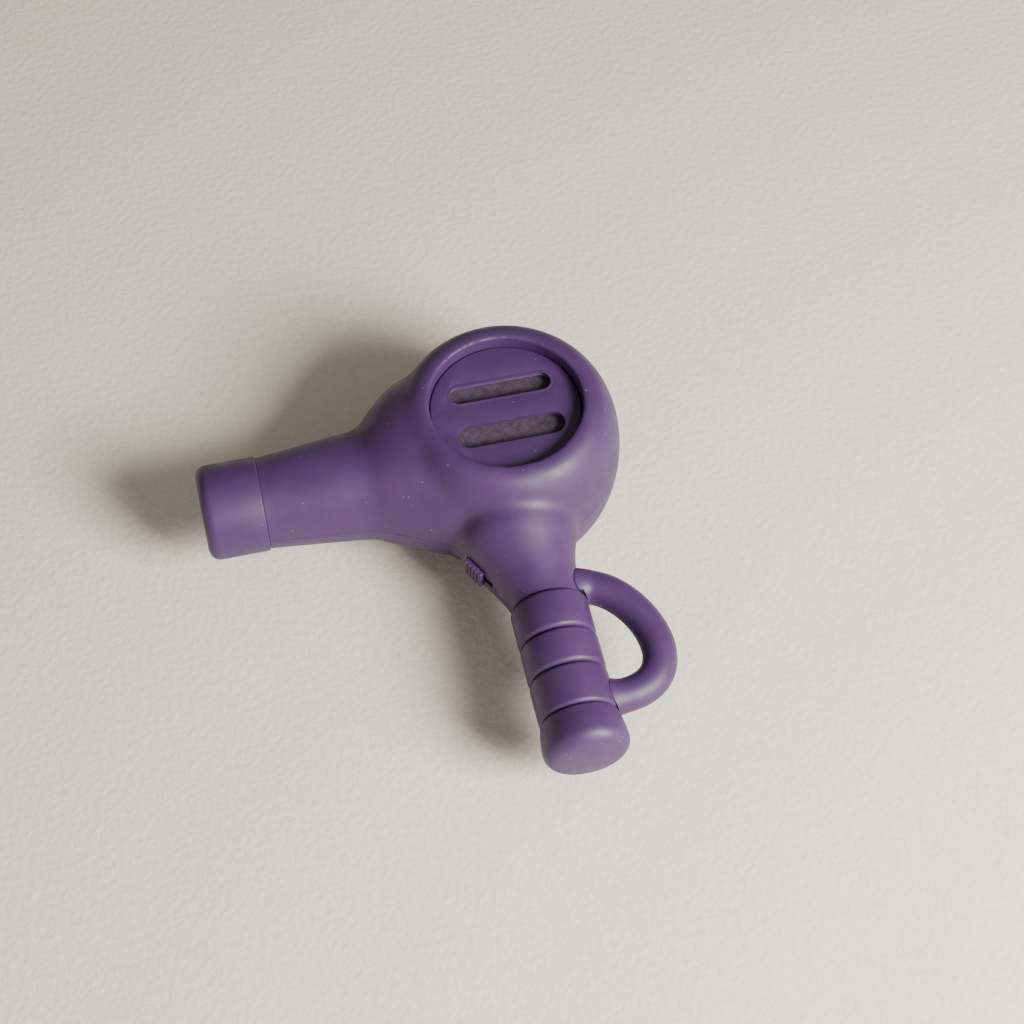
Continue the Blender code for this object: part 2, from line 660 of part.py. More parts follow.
# ---------------------------------------------------------------- intake covers and lint filters
def make_intake(side_name, turn):
    """A cover with two slots, held by lugs under the casing's ledge, and the filter behind it."""
    axis = new_empty(f"{side_name}_cover_axis", dryer, rotation=(turn, 0, 0))
    rim = INTAKE_RADIUS - GAP
    points = [
        (0, COVER_FACE),
        (rim - COVER_EDGE, COVER_FACE),
        (rim, COVER_FACE - COVER_EDGE),
        (rim, COVER_SEAT),
        (SKIRT_RADIUS, COVER_SEAT),
        (SKIRT_RADIUS, LUG_BOTTOM),
        (SKIRT_INNER_RADIUS, LUG_BOTTOM),
        (SKIRT_INNER_RADIUS, COVER_SEAT),
        (0, COVER_SEAT),
    ]
    name = f"{side_name}_intake_cover"
    cover = screw(new_part(name, profile(name, points), axis, PURPLE), 36)
    lug_size = (LUG_GRIP + SKIRT_WALL / 2, LUG_WIDTH, LUG_HEIGHT)
    lug_place = Matrix.Translation((LUG_RADIUS - lug_size[0] / 2, 0, LUG_BOTTOM + LUG_HEIGHT / 2))
    lugs = boxes(f"{name}_lugs", lug_size, [turn_by @ lug_place for turn_by in around(LUG_COUNT)])
    boolean(cover, "UNION", new_cutter(f"{name}_lugs", lugs, axis))
    slot_length = 2 * SLOT_HALF_STRAIGHT + SLOT_WIDTH
    for sign in (1, -1):
        outline = [(x, y + sign * SLOT_SPACING / 2) for x, y in stadium(slot_length, SLOT_WIDTH)]
        slot = prism(f"{name}_slot", outline, COVER_SEAT - 0.0002, COVER_FACE + 0.001)
        boolean(cover, "DIFFERENCE", new_cutter(f"{name}_slot", slot, axis))
    top = COVER_SEAT - 0.0012
    edge = SKIRT_INNER_RADIUS - GAP
    filter_points = [
        (0, top - GAP),
        (edge - FILTER_RIM, top - GAP),
        (edge - FILTER_RIM, top),
        (edge, top),
        (edge, LUG_BOTTOM + 2 * GAP),
        (edge - FILTER_RIM, LUG_BOTTOM + 2 * GAP),
        (edge - FILTER_RIM, top - GAP - FILTER_THICKNESS),
        (0, top - GAP - FILTER_THICKNESS),
    ]
    name = f"{side_name}_lint_filter"
    screw(new_part(name, profile(name, filter_points), axis, DARK, 0.8), 24)


# ---------------------------------------------------------------- nozzle and grille
def make_nozzle():
    front, back = NOZZLE_FRONT, NOZZLE_BACK
    seat_radius = SPIGOT_RADIUS + RUNNING_GAP
    seat_end = SPIGOT_FRONT + RUNNING_GAP
    corner = (NOZZLE_RADIUS - NOZZLE_ROUNDING, front - NOZZLE_ROUNDING)
    points = [
        (0, front),
        *arc(corner, (NOZZLE_ROUNDING, NOZZLE_ROUNDING), 90, 0, 5),
        (NOZZLE_RADIUS, back + NOZZLE_STEP),
        (NOZZLE_RADIUS - NOZZLE_STEP, back),
        (seat_radius, back),
        (seat_radius, seat_end),
        (0, seat_end),
    ]
    nozzle = screw(new_part("nozzle", profile("nozzle", points), barrel_axis, PURPLE), 28)
    mouth = NOZZLE_RADIUS - MOUTH_LIP
    half_height = MOUTH_HEIGHT / 2
    sections = [
        oval(SPIGOT_BORE, SPIGOT_BORE, SPIGOT_BORE, SPIGOT_BORE, seat_end - 0.001),
        oval(SPIGOT_BORE, SPIGOT_BORE, SPIGOT_BORE, SPIGOT_BORE, seat_end + 0.001),
        oval(half_height, half_height, mouth, mouth, front - MOUTH_THROAT),
        oval(half_height, half_height, mouth, mouth, front + 0.001),
    ]
    boolean(nozzle, "DIFFERENCE", new_cutter("nozzle_mouth", loft("nozzle_mouth", sections), barrel_axis))


def make_outlet_grille():
    """Two rings and a hub joined by six bars, seated at the front of the spigot."""
    outer = SPIGOT_BORE - GAP
    high = SPIGOT_FRONT - 0.0005
    low = high - GRILLE_THICKNESS
    middle = outer * 0.55
    rim = washer(outer, outer - GRILLE_BAR, low, high)
    ring = washer(middle, middle - GRILLE_BAR, low + GAP, high - GAP)
    hub = rods("grille_hub", 2 * GRILLE_BAR, low + GAP, high - GAP, [(0, 0)], 12)
    length = outer - GRILLE_BAR / 2
    place = Matrix.Translation((length / 2, 0, (low + high) / 2))
    bar_size = (length, GRILLE_BAR, GRILLE_THICKNESS * 0.6)
    grille = screw(new_part("outlet_grille", profile("outlet_grille", rim), barrel_axis, DARK), 24)
    boolean(grille, "UNION", screw(new_cutter("grille_ring", profile("grille_ring", ring), barrel_axis), 24))
    for index, turn_by in enumerate(around(6), 1):
        bar = boxes(f"grille_bar_{index}", bar_size, [turn_by @ place])
        boolean(grille, "UNION", new_cutter(f"grille_bar_{index}", bar, barrel_axis))
    boolean(grille, "UNION", new_cutter("grille_hub", hub, barrel_axis))


# ---------------------------------------------------------------- heater
def make_heater_board(name, turn, slot_at_tip):
    """A mica board with a slot along half its length, so that two of them cross."""
    length = HEATER_END - HEATER_TAIL
    size = (HEATER_BOARD_THICKNESS, 2 * HEATER_BOARD_HALF_WIDTH, length)
    axis = new_empty(f"{name}_axis", barrel_axis, rotation=(0, 0, turn))
    place = Matrix.Translation((0, 0, HEATER_TAIL + length / 2))
    board = new_part(name, boxes(name, size, [place]), axis, MICA)
    slot_size = (0.01, HEATER_BOARD_THICKNESS + 2 * GAP, length / 2 + 2 * GAP)
    slot_centre = HEATER_END - length / 4 if slot_at_tip else HEATER_TAIL + length / 4
    slot = boxes(f"{name}_slot", slot_size, [Matrix.Translation((0, 0, slot_centre))])
    boolean(board, "DIFFERENCE", new_cutter(f"{name}_slot", slot, axis))


def make_heater():
    sleeve = washer(SLEEVE_RADIUS, SLEEVE_RADIUS - SLEEVE_WALL, HEATER_START, HEATER_END)
    screw(new_part("heater_sleeve", profile("heater_sleeve", sleeve), barrel_axis, MICA), 24)
    make_heater_board("heater_board_flat", 0, True)
    make_heater_board("heater_board_upright", math.pi / 2, False)
    first, last = HEATER_START + 0.006, HEATER_END - 0.003
    steps = 16 * HEATER_TURNS
    winding = []
    for i in range(steps + 1):
        angle = 2 * math.pi * i / 16
        reach = first + (last - first) * i / steps
        winding.append((WINDING_RADIUS * math.cos(angle), WINDING_RADIUS * math.sin(angle), reach))
    wire("heater_coil", winding, HEATER_WIRE_RADIUS, barrel_axis, STEEL, 1.0, 0)
    board_face = HEATER_BOARD_THICKNESS / 2 + GAP
    place = Matrix.Translation((board_face + THERMOSTAT_SIZE[0] / 2, 0.0065, HEATER_TAIL + 0.0045))
    new_part("thermostat", boxes("thermostat", THERMOSTAT_SIZE, [place]), barrel_axis, STEEL, 0.4, 1.0)
    fuse_low = HEATER_TAIL + 0.001
    fuse = rods("thermal_fuse", FUSE_RADIUS, fuse_low, fuse_low + FUSE_LENGTH, [(0, 0)], 16)
    obj = new_part("thermal_fuse", fuse, barrel_axis, (0.7, 0.7, 0.68))
    obj.location = (board_face + FUSE_RADIUS, -0.007, 0)


# ---------------------------------------------------------------- motor and fan
def make_motor():
    """A direct-current motor on a three-armed bracket, its shaft pointing up to the impeller."""
    bell = washer(MOTOR_RADIUS - GAP, SHAFT_BORE, MOTOR_BOTTOM, MOTOR_BOTTOM + BELL_THICKNESS)
    screw(new_part("motor_end_bell", profile("motor_end_bell", bell), dryer, DARK), 24)
    bush_hole = BUSH_RADIUS + GAP
    can = [
        (bush_hole, CAN_TOP),
        (MOTOR_RADIUS - MOTOR_WALL, CAN_TOP),
        (MOTOR_RADIUS, CAN_TOP - MOTOR_WALL),
        (MOTOR_RADIUS, CAN_BOTTOM),
        (MOTOR_RADIUS - MOTOR_WALL, CAN_BOTTOM),
        (MOTOR_RADIUS - MOTOR_WALL, CAN_TOP - MOTOR_WALL),
        (bush_hole, CAN_TOP - MOTOR_WALL),
    ]
    screw(new_part("motor_can", profile("motor_can", can), dryer, STEEL, 0.35, 1.0), 24)
    bush = washer(BUSH_RADIUS, SHAFT_BORE, CAN_TOP - 0.002, BUSH_TOP)
    screw(new_part("shaft_bush", profile("shaft_bush", bush), dryer, BRASS, 0.4, 1.0), 20)
    shaft = [
        (0, HUB_TOP + 0.0006),
        (SHAFT_RADIUS * 0.7, HUB_TOP + 0.0006),
        (SHAFT_RADIUS, HUB_TOP + 0.0003),
        (SHAFT_RADIUS, MOTOR_BOTTOM),
        (0, MOTOR_BOTTOM),
    ]
    screw(new_part("motor_shaft", profile("motor_shaft", shaft), dryer, STEEL, 0.25, 1.0), 16)

    commutator_low = CAN_BOTTOM + GAP
    commutator_high = commutator_low + COMMUTATOR_LENGTH
    commutator = washer(COMMUTATOR_RADIUS, SHAFT_BORE, commutator_low, commutator_high)
    screw(new_part("commutator", profile("commutator", commutator), dryer, COPPER, 0.4, 1.0), 20)
    armature_high = CAN_TOP - MOTOR_WALL - 0.004
    armature = washer(ARMATURE_RADIUS, SHAFT_BORE, commutator_high + GAP, armature_high)
    obj = screw(new_part("armature", profile("armature", armature), dryer, STEEL, 0.5, 1.0), 24)
    groove_size = (ARMATURE_RADIUS, 0.0022, 0.06)
    groove_place = Matrix.Translation((ARMATURE_RADIUS, 0, 0))
    grooves = boxes("grooves", groove_size, [turn_by @ groove_place for turn_by in around(5)])
    boolean(obj, "DIFFERENCE", new_cutter("grooves", grooves, dryer))

    for index, sign in enumerate((1, -1), 1):
        brush_x = sign * (COMMUTATOR_RADIUS + GAP + BRUSH_SIZE[0] / 2)
        place = Matrix.Translation((brush_x, 0, commutator_low + COMMUTATOR_LENGTH / 2))
        new_part(f"brush_{index}", boxes(f"brush_{index}", BRUSH_SIZE, [place]), dryer, DARK, 0.6)
        outer = MOTOR_RADIUS - MOTOR_WALL - GAP
        inner = ARMATURE_RADIUS + RUNNING_GAP
        middle = 0 if sign > 0 else 180
        outline = arc((0, 0), (outer, outer), middle - 55, middle + 55, 8)
        outline += arc((0, 0), (inner, inner), middle + 55, middle - 55, 8)
        magnet = prism(f"magnet_{index}", outline, commutator_high + GAP, armature_high)
        new_part(f"magnet_{index}", magnet, dryer, (0.09, 0.09, 0.1), 0.6)


def make_motor_bracket():
    plate = washer(MOTOR_RADIUS - 0.001, HUB_RADIUS, BRACKET_BOTTOM, BRACKET_TOP)
    bracket = screw(new_part("motor_bracket", profile("motor_bracket", plate), dryer, STEEL, 0.4, 1.0), 24)
    arm_start = HUB_RADIUS + 0.004
    arm_end = POST_RING_RADIUS + POST_RADIUS
    place = Matrix.Translation(((arm_start + arm_end) / 2, 0, (BRACKET_BOTTOM + BRACKET_TOP) / 2))
    size = (arm_end - arm_start, BRACKET_ARM_WIDTH, BRACKET_THICKNESS)
    turns = [Matrix.Rotation(math.radians(bearing), 4, "Z") for bearing in POST_BEARINGS]
    arms = boxes("bracket_arms", size, [turn_by @ place for turn_by in turns])
    holes = rods("bracket_holes", SCREW_RADIUS + GAP, BRACKET_BOTTOM - 0.002, 0, post_centres())
    boolean(bracket, "UNION", new_cutter("bracket_arms", arms, dryer))
    boolean(bracket, "DIFFERENCE", new_cutter("bracket_holes", holes, dryer))
    flipped = new_empty("bracket_screw_axis", dryer, rotation=(math.pi, 0, 0))
    for index, (x, y) in enumerate(post_centres(), 1):
        head_low = -(BRACKET_TOP + GAP + SCREW_HEAD_HEIGHT)
        turned_screw(f"bracket_screw_{index}", head_low, 0.0068, flipped, (x, -y)).rotation_euler = (0, 0, 0)


def make_impeller():
    """A squirrel-cage wheel: a web on the hub carries swept blades between two end rings."""
    web_top = WEB_BOTTOM + WEB_THICKNESS
    rim = IMPELLER_RADIUS
    web = [
        (HUB_RADIUS, HUB_TOP),
        (HUB_RADIUS, web_top),
        (rim, web_top),
        (rim, WEB_BOTTOM),
        (SHAFT_BORE, WEB_BOTTOM),
        (SHAFT_BORE, HUB_TOP),
    ]
    impeller = screw(new_part("impeller", profile("impeller", web), dryer, DARK, 0.45), 24)
    inner = rim - BLADE_DEPTH
    ring_height = 0.0014
    for name, low in (("top_ring", IMPELLER_TOP - ring_height), ("bottom_ring", IMPELLER_BOTTOM)):
        ring = washer(rim, rim - 0.002, low, low + ring_height)
        boolean(impeller, "UNION", screw(new_cutter(name, profile(name, ring), dryer), 24))
    outline = []
    for side in (-1, 1):
        edge = []
        for i in range(3):
            share = i / 2
            radius = inner + (rim - GAP - inner) * share
            angle = BLADE_SWEEP * share**1.5
            across = side * BLADE_THICKNESS / 2
            x = radius * math.cos(angle) - across * math.sin(angle)
            edge.append((x, radius * math.sin(angle) + across))
        outline += edge if side < 0 else edge[::-1]
    blade = prism("blade", outline, IMPELLER_BOTTOM + GAP, IMPELLER_TOP - GAP)
    bm = bmesh.new()
    for turn_by in around(BLADE_COUNT):
        copy = blade.copy()
        copy.transform(turn_by)
        bm.from_mesh(copy)
    boolean(impeller, "UNION", new_cutter("blades", mesh_from(bm, "blades"), dryer))


def make_fan_scroll():
    """The spiral wall round the impeller, with two eyes that slip over the casing's bosses."""
    steps = 22
    first = IMPELLER_RADIUS + 2 * RUNNING_GAP
    outer, inner = [], []
    for i in range(steps + 1):
        share = i / steps
        angle = SCROLL_START + SCROLL_TURN * share
        radius = first + SCROLL_GROWTH * share**2
        inner.append((radius * math.cos(angle), radius * math.sin(angle)))
        outer.append(((radius + SCROLL_WALL) * math.cos(angle), (radius + SCROLL_WALL) * math.sin(angle)))
    wall = prism("fan_scroll", outer + inner[::-1], -SCROLL_HALF_HEIGHT, SCROLL_HALF_HEIGHT)
    scroll = new_part("fan_scroll", wall, dryer, DARK)
    half = 0.003
    eye = washer(BOSS_RADIUS + GAP + 0.0012, BOSS_RADIUS + GAP, -half, half)
    eye_centres = [centre for centre, _ in screw_places()[:2]]
    for index, centre in enumerate(eye_centres, 1):
        ring = screw(new_cutter(f"eye_{index}", profile(f"eye_{index}", eye), dryer), 24)
        ring.location = (*centre, 0)
        boolean(scroll, "UNION", ring)
    clear = rods("eye_clearance", BOSS_RADIUS + GAP, -0.03, 0.03, eye_centres, 24)
    boolean(scroll, "DIFFERENCE", new_cutter("eye_clearance", clear, dryer))


# ---------------------------------------------------------------- handle
def make_grip_rings():
    start = GRIP_START
    inner = CORE_RADIUS + GAP
    for name, length in RING_LENGTHS.items():
        low, high = start + GAP, start + length - GAP
        radii = (GRIP_ROUNDING, GRIP_ROUNDING)
        middle = GRIP_RADIUS - GRIP_ROUNDING
        points = [(inner, high)]
        points += arc((middle, high - GRIP_ROUNDING), radii, 90, 0, 2)
        points += arc((middle, low + GRIP_ROUNDING), radii, 0, -90, 2)
        points += [(inner, low)]
        screw(new_part(name, profile(name, points), handle_axis, PURPLE), 28)
        start += length


def make_end_cap():
    corner = (CAP_RADIUS - CAP_ROUNDING, HANDLE_END - CAP_ROUNDING)
    low_edge = CAP_START + GRIP_ROUNDING
    socket = CORE_RADIUS + GAP
    hollow = CAP_TOP_RADIUS - CAP_WALL + 0.0009
    hollow_end = HANDLE_END - CAP_WALL
    points = [
        (0, HANDLE_END),
        *arc(corner, (CAP_ROUNDING, CAP_ROUNDING), 90, 0, 5),
        (CAP_TOP_RADIUS, low_edge),
        (CAP_TOP_RADIUS - GRIP_ROUNDING, CAP_START),
        (socket, CAP_START),
        (socket, CORE_END + GAP),
        (hollow, CORE_END + RUNNING_GAP),
        (hollow, hollow_end - 0.003),
        (hollow - 0.003, hollow_end),
        (0, hollow_end),
    ]
    cap = screw(new_part("handle_end_cap", profile("handle_end_cap", points), handle_axis, PURPLE), 28)
    hole = prism("inlet_hole", stadium(INLET_LENGTH + 2 * GAP, INLET_WIDTH + 2 * GAP), 0.0062, 0.03)
    boolean(cap, "DIFFERENCE", new_cutter("inlet_hole", hole, inlet_axis))


def make_inlet():
    """A two-pin inlet in the underside of the end cap, for a lead that comes off."""
    shell = prism("inlet_socket", stadium(INLET_LENGTH, INLET_WIDTH), INLET_BACK, INLET_MOUTH)
    socket = new_part("inlet_socket", shell, inlet_axis, DARK, 0.5)
    hollow_size = (INLET_LENGTH - 2 * INLET_WALL, INLET_WIDTH - 2 * INLET_WALL)
    hollow = prism("inlet_hollow", stadium(*hollow_size), INLET_BACK + INLET_WALL, INLET_MOUTH + 0.002)
    flange_outline = stadium(INLET_LENGTH + 2 * INLET_FLANGE, INLET_WIDTH)
    flange = prism("inlet_flange", flange_outline, INLET_BACK - GAP, INLET_BACK + INLET_WALL)
    pin_centres = [(-PIN_SPACING / 2, 0), (PIN_SPACING / 2, 0)]
    holes = rods("pin_holes", PIN_RADIUS + GAP, INLET_BACK - 0.002, INLET_MOUTH, pin_centres, 16)
    boolean(socket, "UNION", new_cutter("inlet_flange", flange, inlet_axis))
    boolean(
        socket,
        "DIFFERENCE",
        new_cutter("inlet_hollow", hollow, inlet_axis),
        new_cutter("pin_holes", holes, inlet_axis),
    )
    for index, (x, _) in enumerate(pin_centres, 1):
        tip = INLET_MOUTH - 0.0018
        points = [
            (0, tip),
            (PIN_RADIUS * 0.6, tip),
            (PIN_RADIUS, tip - PIN_RADIUS),
            (PIN_RADIUS, INLET_BACK - 0.001),
            (0, INLET_BACK - 0.001),
        ]
        name = f"inlet_pin_{index}"
        pin = screw(new_part(name, profile(name, points), inlet_axis, BRASS, 0.3, 1.0), 16)
        pin.location = (x, 0, 0)


def make_hang_loop():
    """A round bar bent from the neck to the lower ring, cut to meet both with a small gap."""
    curve = bpy.data.curves.new("hang_loop_path", "CURVE")
    curve.dimensions = "3D"
    curve.bevel_depth = LOOP_RADIUS
    curve.bevel_resolution = 2
    curve.resolution_u = 18
    curve.use_fill_caps = True
    top = NECK_END - 0.0052
    bottom = GRIP_END - LOOP_RADIUS - 0.0004
    inside = NECK_END_RADIUS * 0.75
    spline = curve.splines.new("BEZIER")
    spline.bezier_points.add(1)
    for point, place, handle in (
        (0, (inside, 0, top), (inside + 0.023, 0, top - 0.005)),
        (1, (inside, 0, bottom), (inside + (LOOP_REACH - inside) * 1.62, 0, bottom + 0.006)),
    ):
        knot = spline.bezier_points[point]
        knot.co = place
        other = tuple(2 * a - b for a, b in zip(place, handle))
        knot.handle_right, knot.handle_left = (handle, other) if point == 0 else (other, handle)
    guide = bpy.data.objects.new("hang_loop_path", curve)
    guide.parent = handle_axis
    cutters.objects.link(guide)
    bpy.context.view_layer.update()
    graph = bpy.context.evaluated_depsgraph_get()
    mesh = bpy.data.meshes.new_from_object(guide.evaluated_get(graph))
    bpy.data.objects.remove(guide, do_unlink=True)
    bm = bmesh.new()
    bm.from_mesh(mesh)
    bmesh.ops.remove_doubles(bm, verts=bm.verts, dist=0.00001)
    bmesh.ops.recalc_face_normals(bm, faces=bm.faces)
    loop = new_part("hang_loop", mesh_from(bm, "hang_loop"), handle_axis, PURPLE)
    neck = loft("neck_clearance", neck_sections(GAP, NECK_END))
    grip = rods("grip_clearance", GRIP_RADIUS + GAP, NECK_END - GAP, HANDLE_END, [(0, 0)], 48)
    boolean(
        loop,
        "DIFFERENCE",
        new_cutter("neck_clearance", neck, handle_axis),
        new_cutter("grip_clearance", grip, handle_axis),
    )


# ---------------------------------------------------------------- switch and electronics
def make_switch():
    """The button: a ridged pad outside, a stem through the window and a slider plate inside."""
    centre = RUNNING_GAP + BUTTON_LENGTH / 2
    pad_low = -TRACK_DEPTH + GAP
    pad_size = (BUTTON_PROUD - pad_low, BUTTON_WIDTH, BUTTON_LENGTH)
    pad_place = Matrix.Translation(((BUTTON_PROUD + pad_low) / 2, 0, centre))
    pad_box = boxes("switch_button", pad_size, [pad_place])
    pad = bevel(new_part("switch_button", pad_box, switch_axis, PURPLE), 0.0008)
    slider_face = -(WALL + RUNNING_GAP)
    stem_low = slider_face - SLIDER_SIZE[0] / 2
    stem_size = (pad_low - stem_low + 0.0005, STEM_WIDTH, STEM_LENGTH)
    stem_place = Matrix.Translation((stem_low + stem_size[0] / 2, 0, centre))
    slider_place = Matrix.Translation((slider_face - SLIDER_SIZE[0] / 2, 0, centre))
    stem = new_cutter("stem", boxes("stem", stem_size, [stem_place]), switch_axis)
    slider = new_cutter("slider", boxes("slider", SLIDER_SIZE, [slider_place]), switch_axis)
    boolean(pad, "UNION", stem, slider)
    for index in range(4):
        groove_place = Matrix.Translation((BUTTON_PROUD, 0, centre + (index - 1.5) * 0.0018))
        groove = boxes(f"groove_{index}", (0.0008, BUTTON_WIDTH + 0.001, 0.0007), [groove_place])
        boolean(pad, "DIFFERENCE", new_cutter(f"groove_{index}", groove, switch_axis))
    body_face = slider_face - SLIDER_SIZE[0] - RUNNING_GAP
    body_place = Matrix.Translation((body_face - SWITCH_BODY_SIZE[0] / 2, 0, centre + SWITCH_TRAVEL / 2))
    new_part("switch_body", boxes("switch_body", SWITCH_BODY_SIZE, [body_place]), switch_axis, DARK)


def make_rectifier():
    """The board in the handle with its four diodes and the suppression capacitor."""
    low = -BOARD_SINK - BOARD_THICKNESS / 2
    high = low + BOARD_THICKNESS
    half_width = math.sqrt(CORE_BORE**2 - low**2) - 2 * GAP
    size = (2 * half_width, BOARD_THICKNESS, BOARD_LENGTH)
    place = Matrix.Translation((0, -BOARD_SINK, BOARD_START + BOARD_LENGTH / 2))
    new_part("rectifier_board", boxes("rectifier_board", size, [place]), handle_axis, (0.05, 0.16, 0.07))
    for index in range(4):
        column, row = index % 2, index // 2
        diode = rods(f"diode_{index + 1}", DIODE_RADIUS, 0, DIODE_LENGTH, [(0, 0)], 12)
        obj = new_part(f"diode_{index + 1}", diode, handle_axis, DARK)
        along = BOARD_START + 0.003 + row * (DIODE_LENGTH + 0.002)
        obj.location = ((column - 0.5) * 0.008, high + GAP + DIODE_RADIUS, along)
    capacitor_end = BOARD_START + BOARD_LENGTH - 0.002
    capacitor_place = Matrix.Translation(
        (-0.0025, high + GAP + CAPACITOR_SIZE[1] / 2, capacitor_end - CAPACITOR_SIZE[2] / 2)
    )
    new_part(
        "suppression_capacitor",
        boxes("suppression_capacitor", CAPACITOR_SIZE, [capacitor_place]),
        handle_axis,
        (0.45, 0.36, 0.12),
    )


def make_leads():
    """Insulated leads inside the casing, each stopping just short of what it is joined to."""
    pin_back = INLET_BACK - 0.001 - GAP
    pin_x = PIN_SPACING / 2
    board_end = BOARD_START + BOARD_LENGTH
    board_height = -BOARD_SINK
    beside_bore = 0.55 * CORE_BORE
    above_board = 0.46 * CORE_BORE
    supply = [
        (pin_x, -pin_back, INLET_CENTRE),
        (pin_x, -pin_back + 0.002, INLET_CENTRE - 0.001),
        (beside_bore, above_board / 2, CORE_END - 0.003),
        (beside_bore, above_board * 0.8, board_end - 0.012),
        (beside_bore, above_board, BOARD_START + 0.012),
        (0.001, above_board, GRIP_START + 0.002),
        (-0.0055, 0.003, NECK_END - 0.0035),
    ]
    wire("supply_lead", smooth_path(supply), LEAD_RADIUS, handle_axis, (0.35, 0.12, 0.08))
    neutral = [
        (-pin_x, -pin_back, INLET_CENTRE),
        (-pin_x, -pin_back + 0.001, INLET_CENTRE - 0.0015),
        (-pin_x, board_height + 0.001, board_end + 0.004),
        (-pin_x, board_height, board_end + 0.0006),
    ]
    wire("neutral_lead", smooth_path(neutral), LEAD_RADIUS, handle_axis, (0.08, 0.12, 0.35))
    under_fan = -(BRACKET_TOP + GAP + LEAD_RADIUS)
    for index, x in ((1, -0.0022), (2, 0.0022)):
        motor = [
            (x, board_height, BOARD_START - 0.0006),
            (x, board_height - 0.001, BOARD_START - 0.005),
            (x, board_height - 0.006, NECK_END - 0.008),
            (x, -under_fan + 0.003, HOUSING_RADIUS + 0.004),
            (x, -under_fan, IMPELLER_RADIUS + 0.004),
            (x, -under_fan, MOTOR_RADIUS + 0.006),
            (x, -under_fan, MOTOR_RADIUS + 0.001),
        ]
        wire(f"motor_lead_{index}", smooth_path(motor), LEAD_RADIUS, handle_axis, (0.45, 0.04, 0.03))
    beside_wall = HOUSING_RADIUS - WALL - 0.003
    heater = [
        (-NECK_FRONT_ROOT + 0.0095, -(HOUSING_RADIUS - 0.0055), 0.001),
        (*on_ring(beside_wall, 241), 0.001),
        (*on_ring(beside_wall, 225), 0.0005),
        (*on_ring(min(beside_wall, HEATER_TAIL - 0.0022), 208), 0.0),
        (-HEATER_TAIL + 0.0008, -2 * BARREL_DROP, 0.0),
    ]
    wire("heater_lead", smooth_path(heater), LEAD_RADIUS, dryer, (0.7, 0.68, 0.62))


# ---------------------------------------------------------------- assembly
def switch_frame():
    """The switch's own frame: Z along the neck's front towards the handle's end, X out of the surface."""
    start = HOUSING_RADIUS + SWITCH_START
    track_length = BUTTON_LENGTH + SWITCH_TRAVEL + 2 * RUNNING_GAP
    fall = (neck_front(start) - neck_front(start + track_length)) / track_length
    lean = math.atan(fall)
    origin = (-neck_front(start), -start, 0)
    along = Vector((math.sin(lean), -math.cos(lean), 0))
    outward = Vector((-math.cos(lean), -math.sin(lean), 0))
    turn_to = Matrix((outward, along.cross(outward), along)).transposed()
    return origin, turn_to.to_euler()


clear_scene()
parts = new_collection("travel_hair_dryer")
cutters = new_collection("cutters")
dryer = new_empty("dryer", location=(CENTRE_X, CENTRE_Y, HOUSING_HALF_DEPTH))
barrel_axis = new_empty("barrel_axis", dryer, (0, -BARREL_DROP, 0), (0, -math.pi / 2, 0))
handle_axis = new_empty("handle_axis", dryer, rotation=(math.pi / 2, 0, 0))
inlet_axis = new_empty("inlet_axis", dryer, (0, -INLET_CENTRE, 0), (math.pi, 0, 0))
switch_axis = new_empty("switch_axis", dryer, *switch_frame())

make_casings()
make_casing_screws()
make_intake("upper", 0)
make_intake("lower", math.pi)
make_nozzle()
make_outlet_grille()
make_heater()
make_motor()
make_motor_bracket()
make_impeller()
make_fan_scroll()
make_grip_rings()
make_end_cap()
make_inlet()
make_hang_loop()
make_switch()
make_rectifier()
make_leads()
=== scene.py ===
import json
import math

import bpy
from mathutils import Matrix, Vector


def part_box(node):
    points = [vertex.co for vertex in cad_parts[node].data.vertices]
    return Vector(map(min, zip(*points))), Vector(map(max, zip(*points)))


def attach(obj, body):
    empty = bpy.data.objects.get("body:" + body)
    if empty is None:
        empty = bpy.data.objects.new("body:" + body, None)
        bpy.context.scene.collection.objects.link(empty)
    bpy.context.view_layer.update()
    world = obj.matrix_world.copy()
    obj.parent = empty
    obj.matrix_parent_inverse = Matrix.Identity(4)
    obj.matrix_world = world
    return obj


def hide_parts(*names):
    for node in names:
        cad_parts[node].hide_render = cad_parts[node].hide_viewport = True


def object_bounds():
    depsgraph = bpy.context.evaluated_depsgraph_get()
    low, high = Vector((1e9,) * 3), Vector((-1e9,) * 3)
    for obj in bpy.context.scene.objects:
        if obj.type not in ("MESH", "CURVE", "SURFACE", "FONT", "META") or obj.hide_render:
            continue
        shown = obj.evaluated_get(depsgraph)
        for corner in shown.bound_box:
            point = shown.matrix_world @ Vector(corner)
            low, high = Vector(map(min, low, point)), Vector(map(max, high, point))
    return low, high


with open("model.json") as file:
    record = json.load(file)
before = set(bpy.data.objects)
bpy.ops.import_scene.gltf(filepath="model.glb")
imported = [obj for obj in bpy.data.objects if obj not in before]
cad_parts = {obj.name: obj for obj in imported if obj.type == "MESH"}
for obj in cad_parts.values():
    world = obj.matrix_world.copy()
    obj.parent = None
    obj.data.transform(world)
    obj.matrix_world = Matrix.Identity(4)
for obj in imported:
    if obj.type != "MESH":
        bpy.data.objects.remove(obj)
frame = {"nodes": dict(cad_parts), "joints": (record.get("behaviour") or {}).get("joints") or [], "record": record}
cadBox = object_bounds()
nodes = frame["nodes"]
print("frame loaded:", len(nodes), "nodes")


